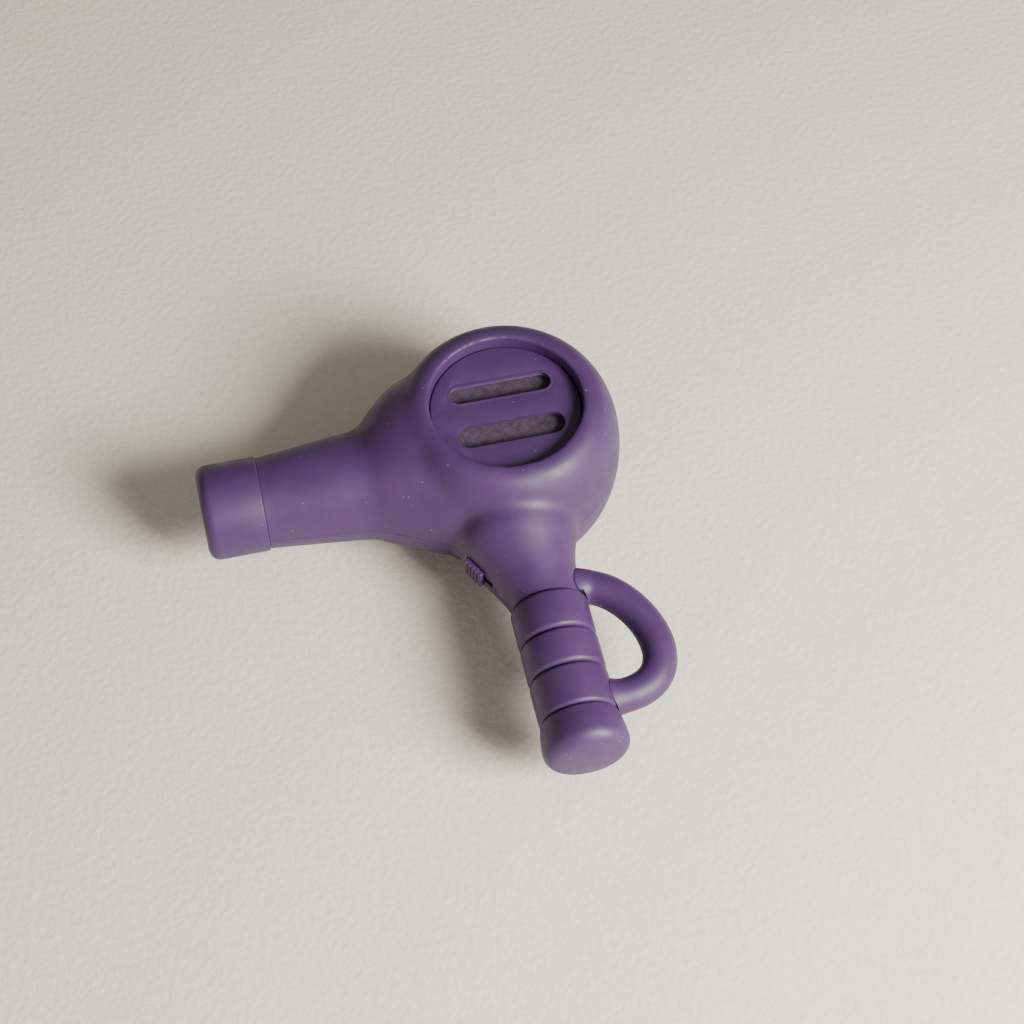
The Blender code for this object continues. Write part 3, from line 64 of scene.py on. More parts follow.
# ---- camera
view = {
    "azimuth": math.radians(10.6),
    "elevation": math.radians(59.8),
    "roll": math.radians(-1.5),
    "distance": 0.8305,
    "target": Vector((0, 0.0005, 0.030)),
    "lens": 73.4,
    "shift": (0.0756, 0.0562),
}
looking = Vector((
    math.sin(view["azimuth"]) * math.cos(view["elevation"]),
    math.cos(view["azimuth"]) * math.cos(view["elevation"]),
    -math.sin(view["elevation"]),
))
bpy.ops.object.camera_add(location=view["target"] - looking * view["distance"])
camera = bpy.context.object
turn = looking.to_track_quat("-Z", "Y").to_matrix() @ Matrix.Rotation(view["roll"], 3, "Z")
camera.rotation_euler = turn.to_euler()
camera.data.lens = view["lens"]
camera.data.shift_x, camera.data.shift_y = view["shift"]
bpy.context.scene.camera = camera
print("camera placed")


# ---- modelling helpers
def deselectAll():
    if bpy.context.mode != "OBJECT":
        bpy.ops.object.mode_set(mode="OBJECT")
    bpy.ops.object.select_all(action="DESELECT")


def makeActive(obj):
    deselectAll()
    obj.select_set(True)
    bpy.context.view_layer.objects.active = obj


def applyModifier(obj, kind, **settings):
    makeActive(obj)
    modifier = obj.modifiers.new(kind.lower(), kind)
    for key, value in settings.items():
        setattr(modifier, key, value)
    bpy.ops.object.modifier_apply(modifier=modifier.name)


def combine(obj, tool, operation="DIFFERENCE", solver="MANIFOLD"):
    applyModifier(obj, "BOOLEAN", operation=operation, object=tool, solver=solver)
    bpy.data.objects.remove(tool, do_unlink=True)


def place(obj, matrix):
    # the place goes into the mesh, and the object stays at the origin
    makeActive(obj)
    obj.matrix_world = matrix
    bpy.ops.object.transform_apply(location=True, rotation=True, scale=True)
    return obj


def stackRings(name, rings, matrix, vertices=72):
    # a disc pulled up ring by ring; each ring is (height, half x, half y, middle x, middle y)
    deselectAll()
    height, halfX, halfY, midX, midY = rings[0]
    bpy.ops.mesh.primitive_circle_add(
        vertices=vertices, radius=1, fill_type="NGON", location=(0, 0, 0)
    )
    obj = bpy.context.object
    obj.name = name
    bpy.ops.object.mode_set(mode="EDIT")
    bpy.ops.transform.resize(value=(halfX, halfY, 1), center_override=(0, 0, 0))
    bpy.ops.transform.translate(value=(midX, midY, height))
    for ring in rings[1:]:
        newHeight, newHalfX, newHalfY, newMidX, newMidY = ring
        bpy.ops.mesh.extrude_region_move(TRANSFORM_OT_translate={"value": (0, 0, newHeight - height)})
        growth = (newHalfX / halfX, newHalfY / halfY, 1)
        bpy.ops.transform.resize(value=growth, center_override=(midX, midY, newHeight))
        bpy.ops.transform.translate(value=(newMidX - midX, newMidY - midY, 0))
        height, halfX, halfY, midX, midY = ring
    bpy.ops.mesh.select_all(action="SELECT")
    bpy.ops.mesh.normals_make_consistent(inside=False)
    bpy.ops.object.mode_set(mode="OBJECT")
    return place(obj, matrix)


def turned(name, outline, matrix, vertices=72):
    # a turned solid from (height, radius) pairs
    rings = [(height, radius, radius, 0, 0) for height, radius in outline]
    return stackRings(name, rings, matrix, vertices)


def corner(height, radius, size, start, end, steps=6):
    # (height, radius) pairs round a corner whose centre is at that height and radius
    points = []
    for i in range(steps + 1):
        angle = math.radians(start + (end - start) * i / steps)
        points.append((height + size * math.sin(angle), radius + size * math.cos(angle)))
    return points


def slotSolid(name, length, width, low, high, matrix):
    # a flat bar with round ends
    deselectAll()
    middle = (0, 0, (low + high) / 2)
    bpy.ops.mesh.primitive_cube_add(size=1, location=middle, scale=(length, width, high - low))
    bar = bpy.context.object
    bar.name = name
    bpy.ops.object.transform_apply(location=True, rotation=True, scale=True)
    bpy.ops.object.mode_set(mode="EDIT")
    bpy.ops.mesh.select_all(action="DESELECT")
    bpy.ops.object.mode_set(mode="OBJECT")
    for edge in bar.data.edges:
        ends = [bar.data.vertices[v].co for v in edge.vertices]
        edge.select = abs(ends[0].z - ends[1].z) > (high - low) / 2
    bpy.ops.object.mode_set(mode="EDIT")
    bpy.ops.mesh.select_mode(type="EDGE")
    bpy.ops.mesh.bevel(offset=width / 2 * 0.999, segments=10, affect="EDGES")
    bpy.ops.object.mode_set(mode="OBJECT")
    return place(bar, matrix)


def block(name, size, middle, matrix=Matrix()):
    deselectAll()
    bpy.ops.mesh.primitive_cube_add(size=1, location=middle, scale=size)
    obj = bpy.context.object
    obj.name = name
    bpy.ops.object.transform_apply(location=True, rotation=True, scale=True)
    return place(obj, matrix)


def softenEdges(obj, width, segments=3, angle=35):
    applyModifier(
        obj, "BEVEL", width=width, segments=segments, limit_method="ANGLE",
        angle_limit=math.radians(angle), use_clamp_overlap=True, harden_normals=False,
    )


def finishPiece(obj, body, replaced, material, smoothAngle=40):
    makeActive(obj)
    bpy.ops.object.mode_set(mode="EDIT")
    bpy.ops.mesh.select_all(action="SELECT")
    bpy.ops.mesh.remove_doubles(threshold=0.000002)
    bpy.ops.mesh.normals_make_consistent(inside=False)
    bpy.ops.object.mode_set(mode="OBJECT")
    bpy.ops.object.shade_smooth_by_angle(angle=math.radians(smoothAngle))
    obj.data.materials.clear()
    obj.data.materials.append(material)
    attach(obj, body)
    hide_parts(*replaced)


# ---- where things are, read off the frame
def middleOf(node):
    low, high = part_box(node)
    return (low + high) / 2


coverMiddle = middleOf("upper_intake_cover")
fanAxis = Vector((coverMiddle.x, coverMiddle.y, (cadBox[0].z + cadBox[1].z) / 2))
barrelSpot = Vector((fanAxis.x, middleOf("nozzle").y, fanAxis.z))
upright = Matrix.Translation(fanAxis)
upsideDown = upright @ Matrix.Rotation(math.pi, 4, "X")
alongBarrel = Matrix.Translation(barrelSpot) @ Matrix.Rotation(-math.pi / 2, 4, "Y")
alongHandle = Matrix.Translation(fanAxis) @ Matrix.Rotation(math.pi / 2, 4, "X")


# ---- materials
def linear(hexColour):
    values = []
    for i in (1, 3, 5):
        value = int(hexColour[i:i + 2], 16) / 255
        values.append(value / 12.92 if value <= 0.04045 else ((value + 0.055) / 1.055) ** 2.4)
    return (*values, 1)


def addNode(material, kind, settings=None, **links):
    # adds a node, sets its values and joins its inputs to (node, output) pairs
    tree = material.node_tree
    node = tree.nodes.new(kind)
    for key, value in (settings or {}).items():
        if isinstance(key, int) or key in node.inputs:
            node.inputs[key].default_value = value
        else:
            setattr(node, key, value)
    for key, (source, output) in links.items():
        socket = int(key[1:]) if key[0] == "i" and key[1:].isdigit() else key
        tree.links.new(source.outputs[output], node.inputs[socket])
    return node


def newMaterial(name, roughness, metallic=0.0, ior=1.5):
    material = bpy.data.materials.new(name)
    material.use_nodes = True
    shader = material.node_tree.nodes["Principled BSDF"]
    shader.inputs["Roughness"].default_value = roughness
    shader.inputs["Metallic"].default_value = metallic
    shader.inputs["IOR"].default_value = ior
    return material, shader


def join(material, source, output, target, socket):
    material.node_tree.links.new(source.outputs[output], target.inputs[socket])


def colourRamp(material, source, output, stops):
    ramp = addNode(material, "ShaderNodeValToRGB", {}, Fac=(source, output))
    elements = ramp.color_ramp.elements
    elements[0].position, elements[0].color = stops[0]
    elements[1].position, elements[1].color = stops[-1]
    for position, colour in stops[1:-1]:
        element = elements.new(position)
        element.color = colour
    return ramp


def mouldedPlastic(name, hexDark, hexLight, roughness, grainMm, grainDepthMm, dust):
    # moulded plastic: an even colour with a faint cloudiness, a satin skin of fine grain, stray dust
    cloudMm, rippleMm, dustSpacingMm = 26, 7, 5.5
    material, shader = newMaterial(name, roughness)
    spot = addNode(material, "ShaderNodeTexCoord")
    cloud = addNode(
        material, "ShaderNodeTexNoise", {"Scale": 1000 / cloudMm, "Detail": 3.0, "Roughness": 0.55},
        Vector=(spot, "Object"),
    )
    colour = colourRamp(material, cloud, "Fac", [(0.35, linear(hexDark)), (0.65, linear(hexLight))])
    grain = addNode(
        material, "ShaderNodeTexNoise", {"Scale": 1000 / grainMm, "Detail": 2.0}, Vector=(spot, "Object")
    )
    ripple = addNode(
        material, "ShaderNodeTexNoise", {"Scale": 1000 / rippleMm, "Detail": 2.0}, Vector=(spot, "Object")
    )
    grainBump = addNode(
        material, "ShaderNodeBump", {"Strength": 0.5, "Distance": grainDepthMm / 1000}, Height=(grain, "Fac")
    )
    rippleBump = addNode(
        material, "ShaderNodeBump", {"Strength": 0.35, "Distance": 0.00025},
        Height=(ripple, "Fac"), Normal=(grainBump, "Normal"),
    )
    join(material, rippleBump, "Normal", shader, "Normal")
    sheenPatches = addNode(
        material, "ShaderNodeMapRange",
        {"From Min": 0.3, "From Max": 0.7, "To Min": roughness - 0.06, "To Max": roughness + 0.08},
        Value=(ripple, "Fac"),
    )
    join(material, sheenPatches, "Result", shader, "Roughness")
    if dust:
        cells = addNode(
            material, "ShaderNodeTexVoronoi", {"Scale": 1000 / dustSpacingMm, "Randomness": 1.0},
            Vector=(spot, "Object"),
        )
        speck = addNode(
            material, "ShaderNodeMapRange",
            {"From Min": 0.030, "From Max": 0.050, "To Min": dust, "To Max": 0.0}, Value=(cells, "Distance"),
        )
        mix = addNode(material, "ShaderNodeMix", {"data_type": "RGBA"})
        material.node_tree.links.new(speck.outputs["Result"], mix.inputs[0])
        material.node_tree.links.new(colour.outputs["Color"], mix.inputs[6])
        mix.inputs[7].default_value = linear("#C9BFD2")
        material.node_tree.links.new(mix.outputs[2], shader.inputs["Base Color"])
    else:
        join(material, colour, "Color", shader, "Base Color")
    return material


def plainMetal(name, hexColour, roughness, streakMm):
    # plated or turned metal: one colour, with fine streaks that break up the shine
    material, shader = newMaterial(name, roughness, 1.0)
    shader.inputs["Base Color"].default_value = linear(hexColour)
    spot = addNode(material, "ShaderNodeTexCoord")
    streaks = addNode(
        material, "ShaderNodeTexNoise", {"Scale": 1000 / streakMm, "Detail": 3.0}, Vector=(spot, "Object")
    )
    spread = addNode(
        material, "ShaderNodeMapRange",
        {"From Min": 0.3, "From Max": 0.7, "To Min": roughness - 0.08, "To Max": roughness + 0.10},
        Value=(streaks, "Fac"),
    )
    join(material, spread, "Result", shader, "Roughness")
    bump = addNode(
        material, "ShaderNodeBump", {"Strength": 0.3, "Distance": 0.00004}, Height=(streaks, "Fac")
    )
    join(material, bump, "Normal", shader, "Normal")
    return material


def wovenNylon(name, hexThread, hexGapShade, pitchMm):
    # fine nylon mesh clogged with lint: a square weave whose gaps are painted darker, a painted shade for the dark
    # inside seen through the openings
    lintMm, waveScale = 2.5, 314 / pitchMm
    material, shader = newMaterial(name, 0.85)
    spot = addNode(material, "ShaderNodeTexCoord")
    across = addNode(
        material, "ShaderNodeTexWave", {"bands_direction": "X", "Scale": waveScale, "Distortion": 0.4},
        Vector=(spot, "Object"),
    )
    down = addNode(
        material, "ShaderNodeTexWave", {"bands_direction": "Y", "Scale": waveScale, "Distortion": 0.4},
        Vector=(spot, "Object"),
    )
    weave = addNode(
        material, "ShaderNodeMath", {"operation": "MAXIMUM"}, i0=(across, "Fac"), i1=(down, "Fac")
    )
    lint = addNode(
        material, "ShaderNodeTexNoise", {"Scale": 1000 / lintMm, "Detail": 4.0}, Vector=(spot, "Object")
    )
    total = addNode(
        material, "ShaderNodeMath", {"operation": "MULTIPLY"}, i0=(weave, "Value"), i1=(lint, "Fac")
    )
    # the gap colour is painted shade, standing in for the dark inside seen through the mesh
    colour = colourRamp(material, total, "Value", [(0.15, linear(hexGapShade)), (0.6, linear(hexThread))])
    join(material, colour, "Color", shader, "Base Color")
    bump = addNode(material, "ShaderNodeBump", {"Strength": 0.8, "Distance": 0.0002}, Height=(total, "Value"))
    join(material, bump, "Normal", shader, "Normal")
    return material


purpleAbs = mouldedPlastic("purpleAbs", "#3A2250", "#412758", 0.52, 0.45, 0.02, 0.35)
blackAbs = mouldedPlastic("blackAbs", "#1E1C20", "#29262B", 0.45, 0.5, 0.02, 0.0)
# the second, darker colour is the painted shade in the mesh's gaps
filterNylon = wovenNylon("filterNylon", "#4E3A55", "#261C2D", 0.9)
micaSheet = mouldedPlastic("micaSheet", "#A8946C", "#C4B288", 0.35, 1.2, 0.03, 0.0)
zincSteel = plainMetal("zincSteel", "#B8B8B6", 0.35, 0.4)
nichromeWire = plainMetal("nichromeWire", "#9A948C", 0.4, 0.3)
turnedBrass = plainMetal("turnedBrass", "#C8A35A", 0.3, 0.4)
turnedCopper = plainMetal("turnedCopper", "#C07A50", 0.32, 0.4)
firedCeramic = mouldedPlastic("firedCeramic", "#D6D2C6", "#E2DED4", 0.5, 0.6, 0.02, 0.0)
sinteredFerrite = mouldedPlastic("sinteredFerrite", "#3A3A3C", "#48484A", 0.6, 0.4, 0.03, 0.0)
pressedCarbon = mouldedPlastic("pressedCarbon", "#232323", "#2E2E2E", 0.7, 0.3, 0.03, 0.0)
boardMask = mouldedPlastic("boardMask", "#1F5A33", "#256A3C", 0.3, 0.8, 0.01, 0.0)
mouldedEpoxy = mouldedPlastic("mouldedEpoxy", "#201F22", "#2C2B2E", 0.4, 0.4, 0.02, 0.0)
pottedResin = mouldedPlastic("pottedResin", "#9A7A32", "#A98A3E", 0.25, 0.9, 0.01, 0.0)
brownVinyl = mouldedPlastic("brownVinyl", "#6E3A22", "#7A442A", 0.4, 0.5, 0.01, 0.0)
blueVinyl = mouldedPlastic("blueVinyl", "#2A4A86", "#325596", 0.4, 0.5, 0.01, 0.0)
redVinyl = mouldedPlastic("redVinyl", "#9A1F1A", "#A82822", 0.4, 0.5, 0.01, 0.0)
glassBraid = mouldedPlastic("glassBraid", "#CFC9BA", "#E0DBCD", 0.8, 0.5, 0.08, 0.0)

slotMaterials = {
    "purple_plastic": purpleAbs, "black_plastic": blackAbs, "filter_mesh": filterNylon, "mica": micaSheet,
    "resistance_wire": nichromeWire, "steel": zincSteel, "fuse_ceramic": firedCeramic, "copper": turnedCopper,
    "carbon": pressedCarbon, "ferrite": sinteredFerrite, "brass": turnedBrass, "circuit_board": boardMask,
    "diode_epoxy": mouldedEpoxy, "capacitor_resin": pottedResin, "brown_insulation": brownVinyl,
    "blue_insulation": blueVinyl, "red_insulation": redVinyl, "glass_sleeving": glassBraid,
}
for entry in frame["record"]["subparts"]:
    node = nodes[entry["node"]]
    node.data.materials.clear()
    node.data.materials.append(slotMaterials[entry["material_slot"]])
print("materials made:", len(slotMaterials))


# ---- casing: one smooth outside, hollowed and split along the middle
housing = {"radius": 0.047, "halfDepth": 0.034, "shoulder": 0.0134, "intakeRadius": 0.0306, "wall": 0.0022}
barrel = {
    "tipReach": 0.1013, "tipRadius": 0.0186, "rootReach": 0.059, "rootRadius": 0.0226,
    "flareHeight": 0.0336, "farBulge": 0.0050, "bulgePower": 1.2, "nearSlope": 0.46,
    "spigotRadius": 0.0158, "spigotEnd": 0.1133, "boreRadius": 0.0138,
}
neck = {
    "frontRoot": 0.029, "frontPower": 1.15, "backRoot": 0.0195, "backPower": 2.7,
    "heightRoot": 0.0242, "heightPower": 1.6, "endRadius": 0.0142, "length": 0.0292,
    "coreRadius": 0.0128, "coreBore": 0.0108, "coreEnd": 0.1304,
}
dish = {"depth": 0.006, "radius": 0.0302, "flare": 0.001, "top": 0.04}
ledge = {
    "top": 0.0253, "bottom": 0.0233, "radius": 0.0265, "wayAngle": math.radians(20), "wayCount": 3,
    "waySize": (0.0066, 0.0062, 0.0040), "seatTop": 0.045, "throatStart": 0.0190, "throatEnd": 0.0260,
    "wallRadius": 0.0328,
}
hole = {
    "bossRadius": 0.004, "postRadius": 0.0024, "shankRadius": 0.00155,
    "headRadius": 0.0029, "headDepth": 0.0021,
}
skin = {"voxel": 0.0009, "blending": 70, "rimRounding": 12, "spare": 0.014, "splitGap": 0.0002}


def housingOutline(inset):
    rim = housing["radius"] - housing["shoulder"]
    across, up = housing["shoulder"] - inset, housing["halfDepth"] - inset
    shoulder = []
    for i in range(15):
        angle = math.radians(90 * i / 14)
        shoulder.append((up * math.sin(angle), rim + across * math.cos(angle)))
    return [(-height, radius) for height, radius in reversed(shoulder)] + shoulder[1:]


def barrelRings(grow, startReach):
    # the far side runs along the tangent from the housing's circle to the barrel's root
    rootSide = barrel["rootRadius"] - (fanAxis.y - barrelSpot.y)
    slope = math.atan2(barrel["rootReach"], rootSide)
    slope -= math.acos(housing["radius"] / math.hypot(barrel["rootReach"], rootSide))
    flareRun = barrel["rootReach"] - housing["radius"] * math.sin(slope)
    root = barrel["rootRadius"] + grow
    rings = []
    for i in range(13):
        reach = startReach + (barrel["rootReach"] - startReach) * i / 12
        run = barrel["rootReach"] - reach
        share = min(run / flareRun, 1)
        height = root + (barrel["flareHeight"] - barrel["rootRadius"]) * share * (2 - share)
        far = root + math.tan(slope) * min(run, flareRun)
        far += barrel["farBulge"] * math.sin(math.pi * share) ** barrel["bulgePower"]
        near = root + barrel["nearSlope"] * run
        rings.append((reach, height, (near + far) / 2, 0, (far - near) / 2))
    tip = barrel["tipRadius"] + grow
    rings.append((barrel["tipReach"], tip, tip, 0, 0))
    if grow == 0:
        rings.append((barrel["tipReach"] + skin["spare"], tip, tip, 0, 0))
    return rings


def neckHalf(root, power, along):
    share = min(max((along - housing["radius"]) / neck["length"], 0), 1)
    return neck["endRadius"] + (root - neck["endRadius"]) * (1 - share) ** power


def neckRings(grow, end):
    start = housing["intakeRadius"] + 0.0025
    rings = []
    for i in range(15):
        along = start + (end - start) * i / 14
        front = neckHalf(neck["frontRoot"], neck["frontPower"], along) + grow
        back = neckHalf(neck["backRoot"], neck["backPower"], along) + grow
        height = neckHalf(neck["heightRoot"], neck["heightPower"], along) + grow
        rings.append((along, (front + back) / 2, height, (back - front) / 2, 0))
    return rings


neckEnd = housing["radius"] + neck["length"]
skinSolid = turned("casingSkin", housingOutline(0), upright, 96)
combine(skinSolid, stackRings("barrelSolid", barrelRings(0, 0.026), alongBarrel), "UNION")
combine(skinSolid, stackRings("neckSolid", neckRings(0, neckEnd + skin["spare"]), alongHandle), "UNION")
applyModifier(skinSolid, "REMESH", mode="VOXEL", voxel_size=skin["voxel"])
applyModifier(skinSolid, "SMOOTH", factor=0.5, iterations=skin["blending"])
dishOutline = [
    (housing["halfDepth"] - dish["depth"], dish["radius"]),
    (dish["top"], dish["radius"] + dish["flare"]),
]
for side in (upright, upsideDown):
    combine(skinSolid, turned("dish", dishOutline, side, 96))
applyModifier(skinSolid, "REMESH", mode="VOXEL", voxel_size=skin["voxel"])
applyModifier(skinSolid, "SMOOTH", factor=0.5, iterations=skin["rimRounding"])
print("casing skin blended")

# what sticks out past a trim: the nozzle's spigot, and the core that carries the grip rings
overlap = 0.004
trim = {"thick": 0.05, "wide": 0.08}
tipSpot = (barrelSpot.x - barrel["tipReach"] - trim["thick"] / 2, barrelSpot.y, barrelSpot.z)
combine(skinSolid, block("tipTrim", (trim["thick"], trim["wide"], trim["wide"]), tipSpot))
spigotOutline = [
    (barrel["tipReach"] - overlap, barrel["spigotRadius"]),
    (barrel["spigotEnd"], barrel["spigotRadius"]),
]
combine(skinSolid, turned("spigot", spigotOutline, alongBarrel), "UNION")
endSpot = (fanAxis.x, fanAxis.y - neckEnd - trim["thick"] / 2, fanAxis.z)
combine(skinSolid, block("neckTrim", (trim["wide"], trim["thick"], trim["wide"]), endSpot))
coreOutline = [(neckEnd - overlap, neck["coreRadius"]), (neck["coreEnd"], neck["coreRadius"])]
combine(skinSolid, turned("core", coreOutline, alongHandle), "UNION")

wall = housing["wall"]
hollow = turned("hollow", housingOutline(wall), upright, 72)
intakeWall = [(ledge["bottom"], ledge["wallRadius"]), (housing["halfDepth"], ledge["wallRadius"])]
for side in (upright, upsideDown):
    combine(hollow, turned("intakeWall", intakeWall, side, 72))
combine(hollow, stackRings("barrelHollow", barrelRings(-wall, 0.0335), alongBarrel, 56), "UNION")
combine(hollow, stackRings("neckHollow", neckRings(-wall, neckEnd - 0.0008), alongHandle, 56), "UNION")
inside, past = 0.006, 0.002
boreOutline = [(neckEnd - inside, neck["coreBore"]), (neck["coreEnd"] + past, neck["coreBore"])]
combine(hollow, turned("bore", boreOutline, alongHandle), "UNION")
outletOutline = [
    (barrel["tipReach"] - inside, barrel["boreRadius"]),
    (barrel["spigotEnd"] + past, barrel["boreRadius"]),
]
combine(hollow, turned("outlet", outletOutline, alongBarrel), "UNION")


def standing(name, node, top, radius):
    # a post on the lower wall, in line with a screw
    spot = middleOf(node)
    onAxis = Matrix.Translation((spot.x, spot.y, fanAxis.z))
    return turned(name, [(-housing["halfDepth"], radius), (top, radius)], onAxis, 24)


for i in range(1, 5):
    combine(hollow, standing("boss", f"casing_screw_{i}", housing["halfDepth"], hole["bossRadius"]))
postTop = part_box("motor_bracket")[0].z - 0.0003 - fanAxis.z
for i in range(1, 4):
    combine(hollow, standing("post", f"bracket_screw_{i}", postTop, hole["postRadius"]))
seatOutline = [(ledge["top"], housing["intakeRadius"]), (ledge["seatTop"], housing["intakeRadius"])]
throatOutline = [(ledge["throatStart"], ledge["radius"]), (ledge["throatEnd"], ledge["radius"])]
for side in (upright, upsideDown):
    combine(hollow, turned("seat", seatOutline, side, 96), "UNION")
    combine(hollow, turned("throat", throatOutline, side, 96), "UNION")
    for i in range(ledge["wayCount"]):
        turn = side @ Matrix.Rotation(ledge["wayAngle"] + i * 2 * math.pi / ledge["wayCount"], 4, "Z")
        way = block("way", ledge["waySize"], (ledge["radius"], 0, ledge["bottom"] + 0.001), turn)
        combine(hollow, way, "UNION")
combine(skinSolid, hollow)
print("casing hollowed")

slide = next(joint for joint in frame["joints"] if joint["name"] == "switch_slide")
track = {
    "start": 0.0502, "length": 0.0177, "width": 0.0102, "depth": 0.0010, "cutter": 0.006,
    "windowLength": 0.0120, "windowWidth": 0.0034, "windowCutter": 0.009,
}
trackWay = Vector(slide["axis"])
trackOut = Vector((trackWay.y, -trackWay.x, 0))
trackFront = neckHalf(neck["frontRoot"], neck["frontPower"], track["start"])
trackTurn = Matrix((trackOut, trackWay.cross(trackOut), trackWay)).transposed().to_4x4()
onTrack = Matrix.Translation(fanAxis + Vector((-trackFront, -track["start"], 0))) @ trackTurn
middle = track["length"] / 2
trackSize = (track["cutter"], track["width"], track["length"])
combine(skinSolid, block("track", trackSize, (track["cutter"] / 2 - track["depth"], 0, middle), onTrack))
windowSize = (track["windowCutter"], track["windowWidth"], track["windowLength"])
combine(skinSolid, block("window", windowSize, (0, 0, middle), onTrack))


def casingHalf(name, sign):
    makeActive(skinSolid)
    bpy.ops.object.duplicate()
    half = bpy.context.object
    half.name = name
    reach = 0.3
    spot = (fanAxis.x, fanAxis.y, fanAxis.z + sign * (skin["splitGap"] / 2 - reach / 2))
    combine(half, block("otherHalf", (2 * reach, 2 * reach, reach), spot))
    return half


upperShell = casingHalf("upperCasingShell", 1)
lowerShell = casingHalf("lowerCasingShell", -1)
bpy.data.objects.remove(skinSolid, do_unlink=True)


def drill(shell, node, low, high, radius, vertices=24):
    spot = middleOf(node)
    onAxis = Matrix.Translation((spot.x, spot.y, 0))
    combine(shell, turned("drill", [(low, radius), (high, radius)], onAxis, vertices))


below, beyond = -0.01, 0.001
for i in range(1, 5):
    node = f"casing_screw_{i}"
    low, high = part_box(f"casing_screw_{i}")
    drill(lowerShell, node, below, high.z + beyond, hole["shankRadius"])
    drill(lowerShell, node, below, low.z + hole["headDepth"], hole["headRadius"], 32)
    drill(upperShell, node, 0.02, high.z + beyond, hole["shankRadius"])
for i in range(1, 4):
    node = f"bracket_screw_{i}"
    low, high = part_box(f"bracket_screw_{i}")
    drill(lowerShell, node, low.z - 0.0005, high.z, hole["shankRadius"])
finishPiece(upperShell, "casing", ["upper_casing"], purpleAbs, 32)
finishPiece(lowerShell, "casing", ["lower_casing"], purpleAbs, 32)
print("casing halves finished")


# ---- intake covers
cover = {
    "face": 0.0280, "seat": 0.0256, "radius": 0.0303, "edge": 0.0007,
    "skirtRadius": 0.0262, "skirtInner": 0.0248,
    "skirtEnd": 0.0219, "lugReach": 0.0282, "lugSize": (0.0027, 0.0050, 0.0011), "lugCount": 3,
    "slotLength": 0.0436, "slotWidth": 0.0106, "slotSpacing": 0.0203, "slotLow": 0.0230, "slotHigh": 0.0300,
}


def makeCover(name, side, body, node):
    outline = [(cover["skirtEnd"], cover["skirtRadius"]), (cover["seat"], cover["skirtRadius"])]
    outline += [(cover["seat"], cover["radius"])]
    edge = cover["edge"]
    outline += corner(cover["face"] - edge, cover["radius"] - edge, edge, 0, 90, 4)
    disc = turned(name, outline, side, 96)
    lugLong, lugWide, lugHigh = cover["lugSize"]
    lugSpot = (cover["lugReach"] - lugLong / 2, 0, cover["skirtEnd"] + lugHigh / 2)
    for i in range(cover["lugCount"]):
        spin = side @ Matrix.Rotation(i * 2 * math.pi / cover["lugCount"], 4, "Z")
        combine(disc, block("lug", cover["lugSize"], lugSpot, spin), "UNION")
    insideOutline = [(0.02, cover["skirtInner"]), (cover["seat"], cover["skirtInner"])]
    combine(disc, turned("coverInside", insideOutline, side, 96))
    for sign in (1, -1):
        spot = side @ Matrix.Translation((0, sign * cover["slotSpacing"] / 2, 0))
        slot = slotSolid(
            "slot", cover["slotLength"], cover["slotWidth"], cover["slotLow"], cover["slotHigh"], spot
        )
        combine(disc, slot)
    softenEdges(disc, 0.0005, 3, 50)
    finishPiece(disc, body, [node], purpleAbs, 50)


makeCover("upperCover", upright, "upper_cover", "upper_intake_cover")
makeCover("lowerCover", upsideDown, "lower_cover", "lower_intake_cover")
print("intake covers made")


# ---- nozzle
nozzle = {
    "back": 0.10145, "front": 0.1260, "radius": 0.0193, "step": 0.0007, "round": 0.0045,
    "seatRadius": 0.0164, "seatEnd": 0.1139, "boreRadius": 0.0138,
    "mouthHalfHeight": 0.0075, "mouthHalfWidth": 0.0139, "mouthStart": 0.1230, "lip": 0.0012,
}


def nozzleCorner(height, size, start, end, steps):
    return corner(height, nozzle["radius"] - size, size, start, end, steps)


def mouthRing(height, grow):
    return (height, nozzle["mouthHalfHeight"] + grow, nozzle["mouthHalfWidth"] + grow, 0, 0)


outline = nozzleCorner(nozzle["back"] + nozzle["step"], nozzle["step"], -90, 0, 5)
outline += nozzleCorner(nozzle["front"] - nozzle["round"], nozzle["round"], 0, 90, 10)
nozzleShell = turned("nozzleShell", outline, alongBarrel, 96)
seatOutline = [(nozzle["back"] - 0.002, nozzle["seatRadius"]), (nozzle["seatEnd"], nozzle["seatRadius"])]
combine(nozzleShell, turned("nozzleSeat", seatOutline, alongBarrel, 72))
bore, lip = nozzle["boreRadius"], nozzle["lip"]
throat = [(nozzle["seatEnd"] + step, bore, bore, 0, 0) for step in (-0.001, 0.001)]
throat.append(mouthRing(nozzle["mouthStart"], 0))
for i in range(6):
    angle = math.radians(15 * i)
    throat.append(mouthRing(nozzle["front"] - lip + lip * math.sin(angle), lip * (1 - math.cos(angle))))
throat.append(mouthRing(nozzle["front"] + 0.0004, 0.0013))
combine(nozzleShell, stackRings("nozzleThroat", throat, alongBarrel, 96))
finishPiece(nozzleShell, "nozzle", ["nozzle"], purpleAbs, 40)
print("nozzle made")


# ---- grip rings
grip = {"radius": 0.0155, "bore": 0.0131, "round": 0.0019, "close": 0.00008, "clear": 0.0157}
for level in ("upper", "middle", "lower"):
    node = f"{level}_grip_ring"
    low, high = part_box(node)
    first, last = fanAxis.y - high.y - grip["close"], fanAxis.y - low.y + grip["close"]
    edge = grip["round"]
    outline = corner(first + edge, grip["radius"] - edge, edge, -90, 0, 5)
    outline += corner(last - edge, grip["radius"] - edge, edge, 0, 90, 5)
    ring = turned(f"{level}Ring", outline, alongHandle, 96)
    boreOutline = [(first - 0.001, grip["bore"]), (last + 0.001, grip["bore"])]
    combine(ring, turned("ringBore", boreOutline, alongHandle, 72))
    finishPiece(ring, "casing", [node], purpleAbs, 40)
print("grip rings made")


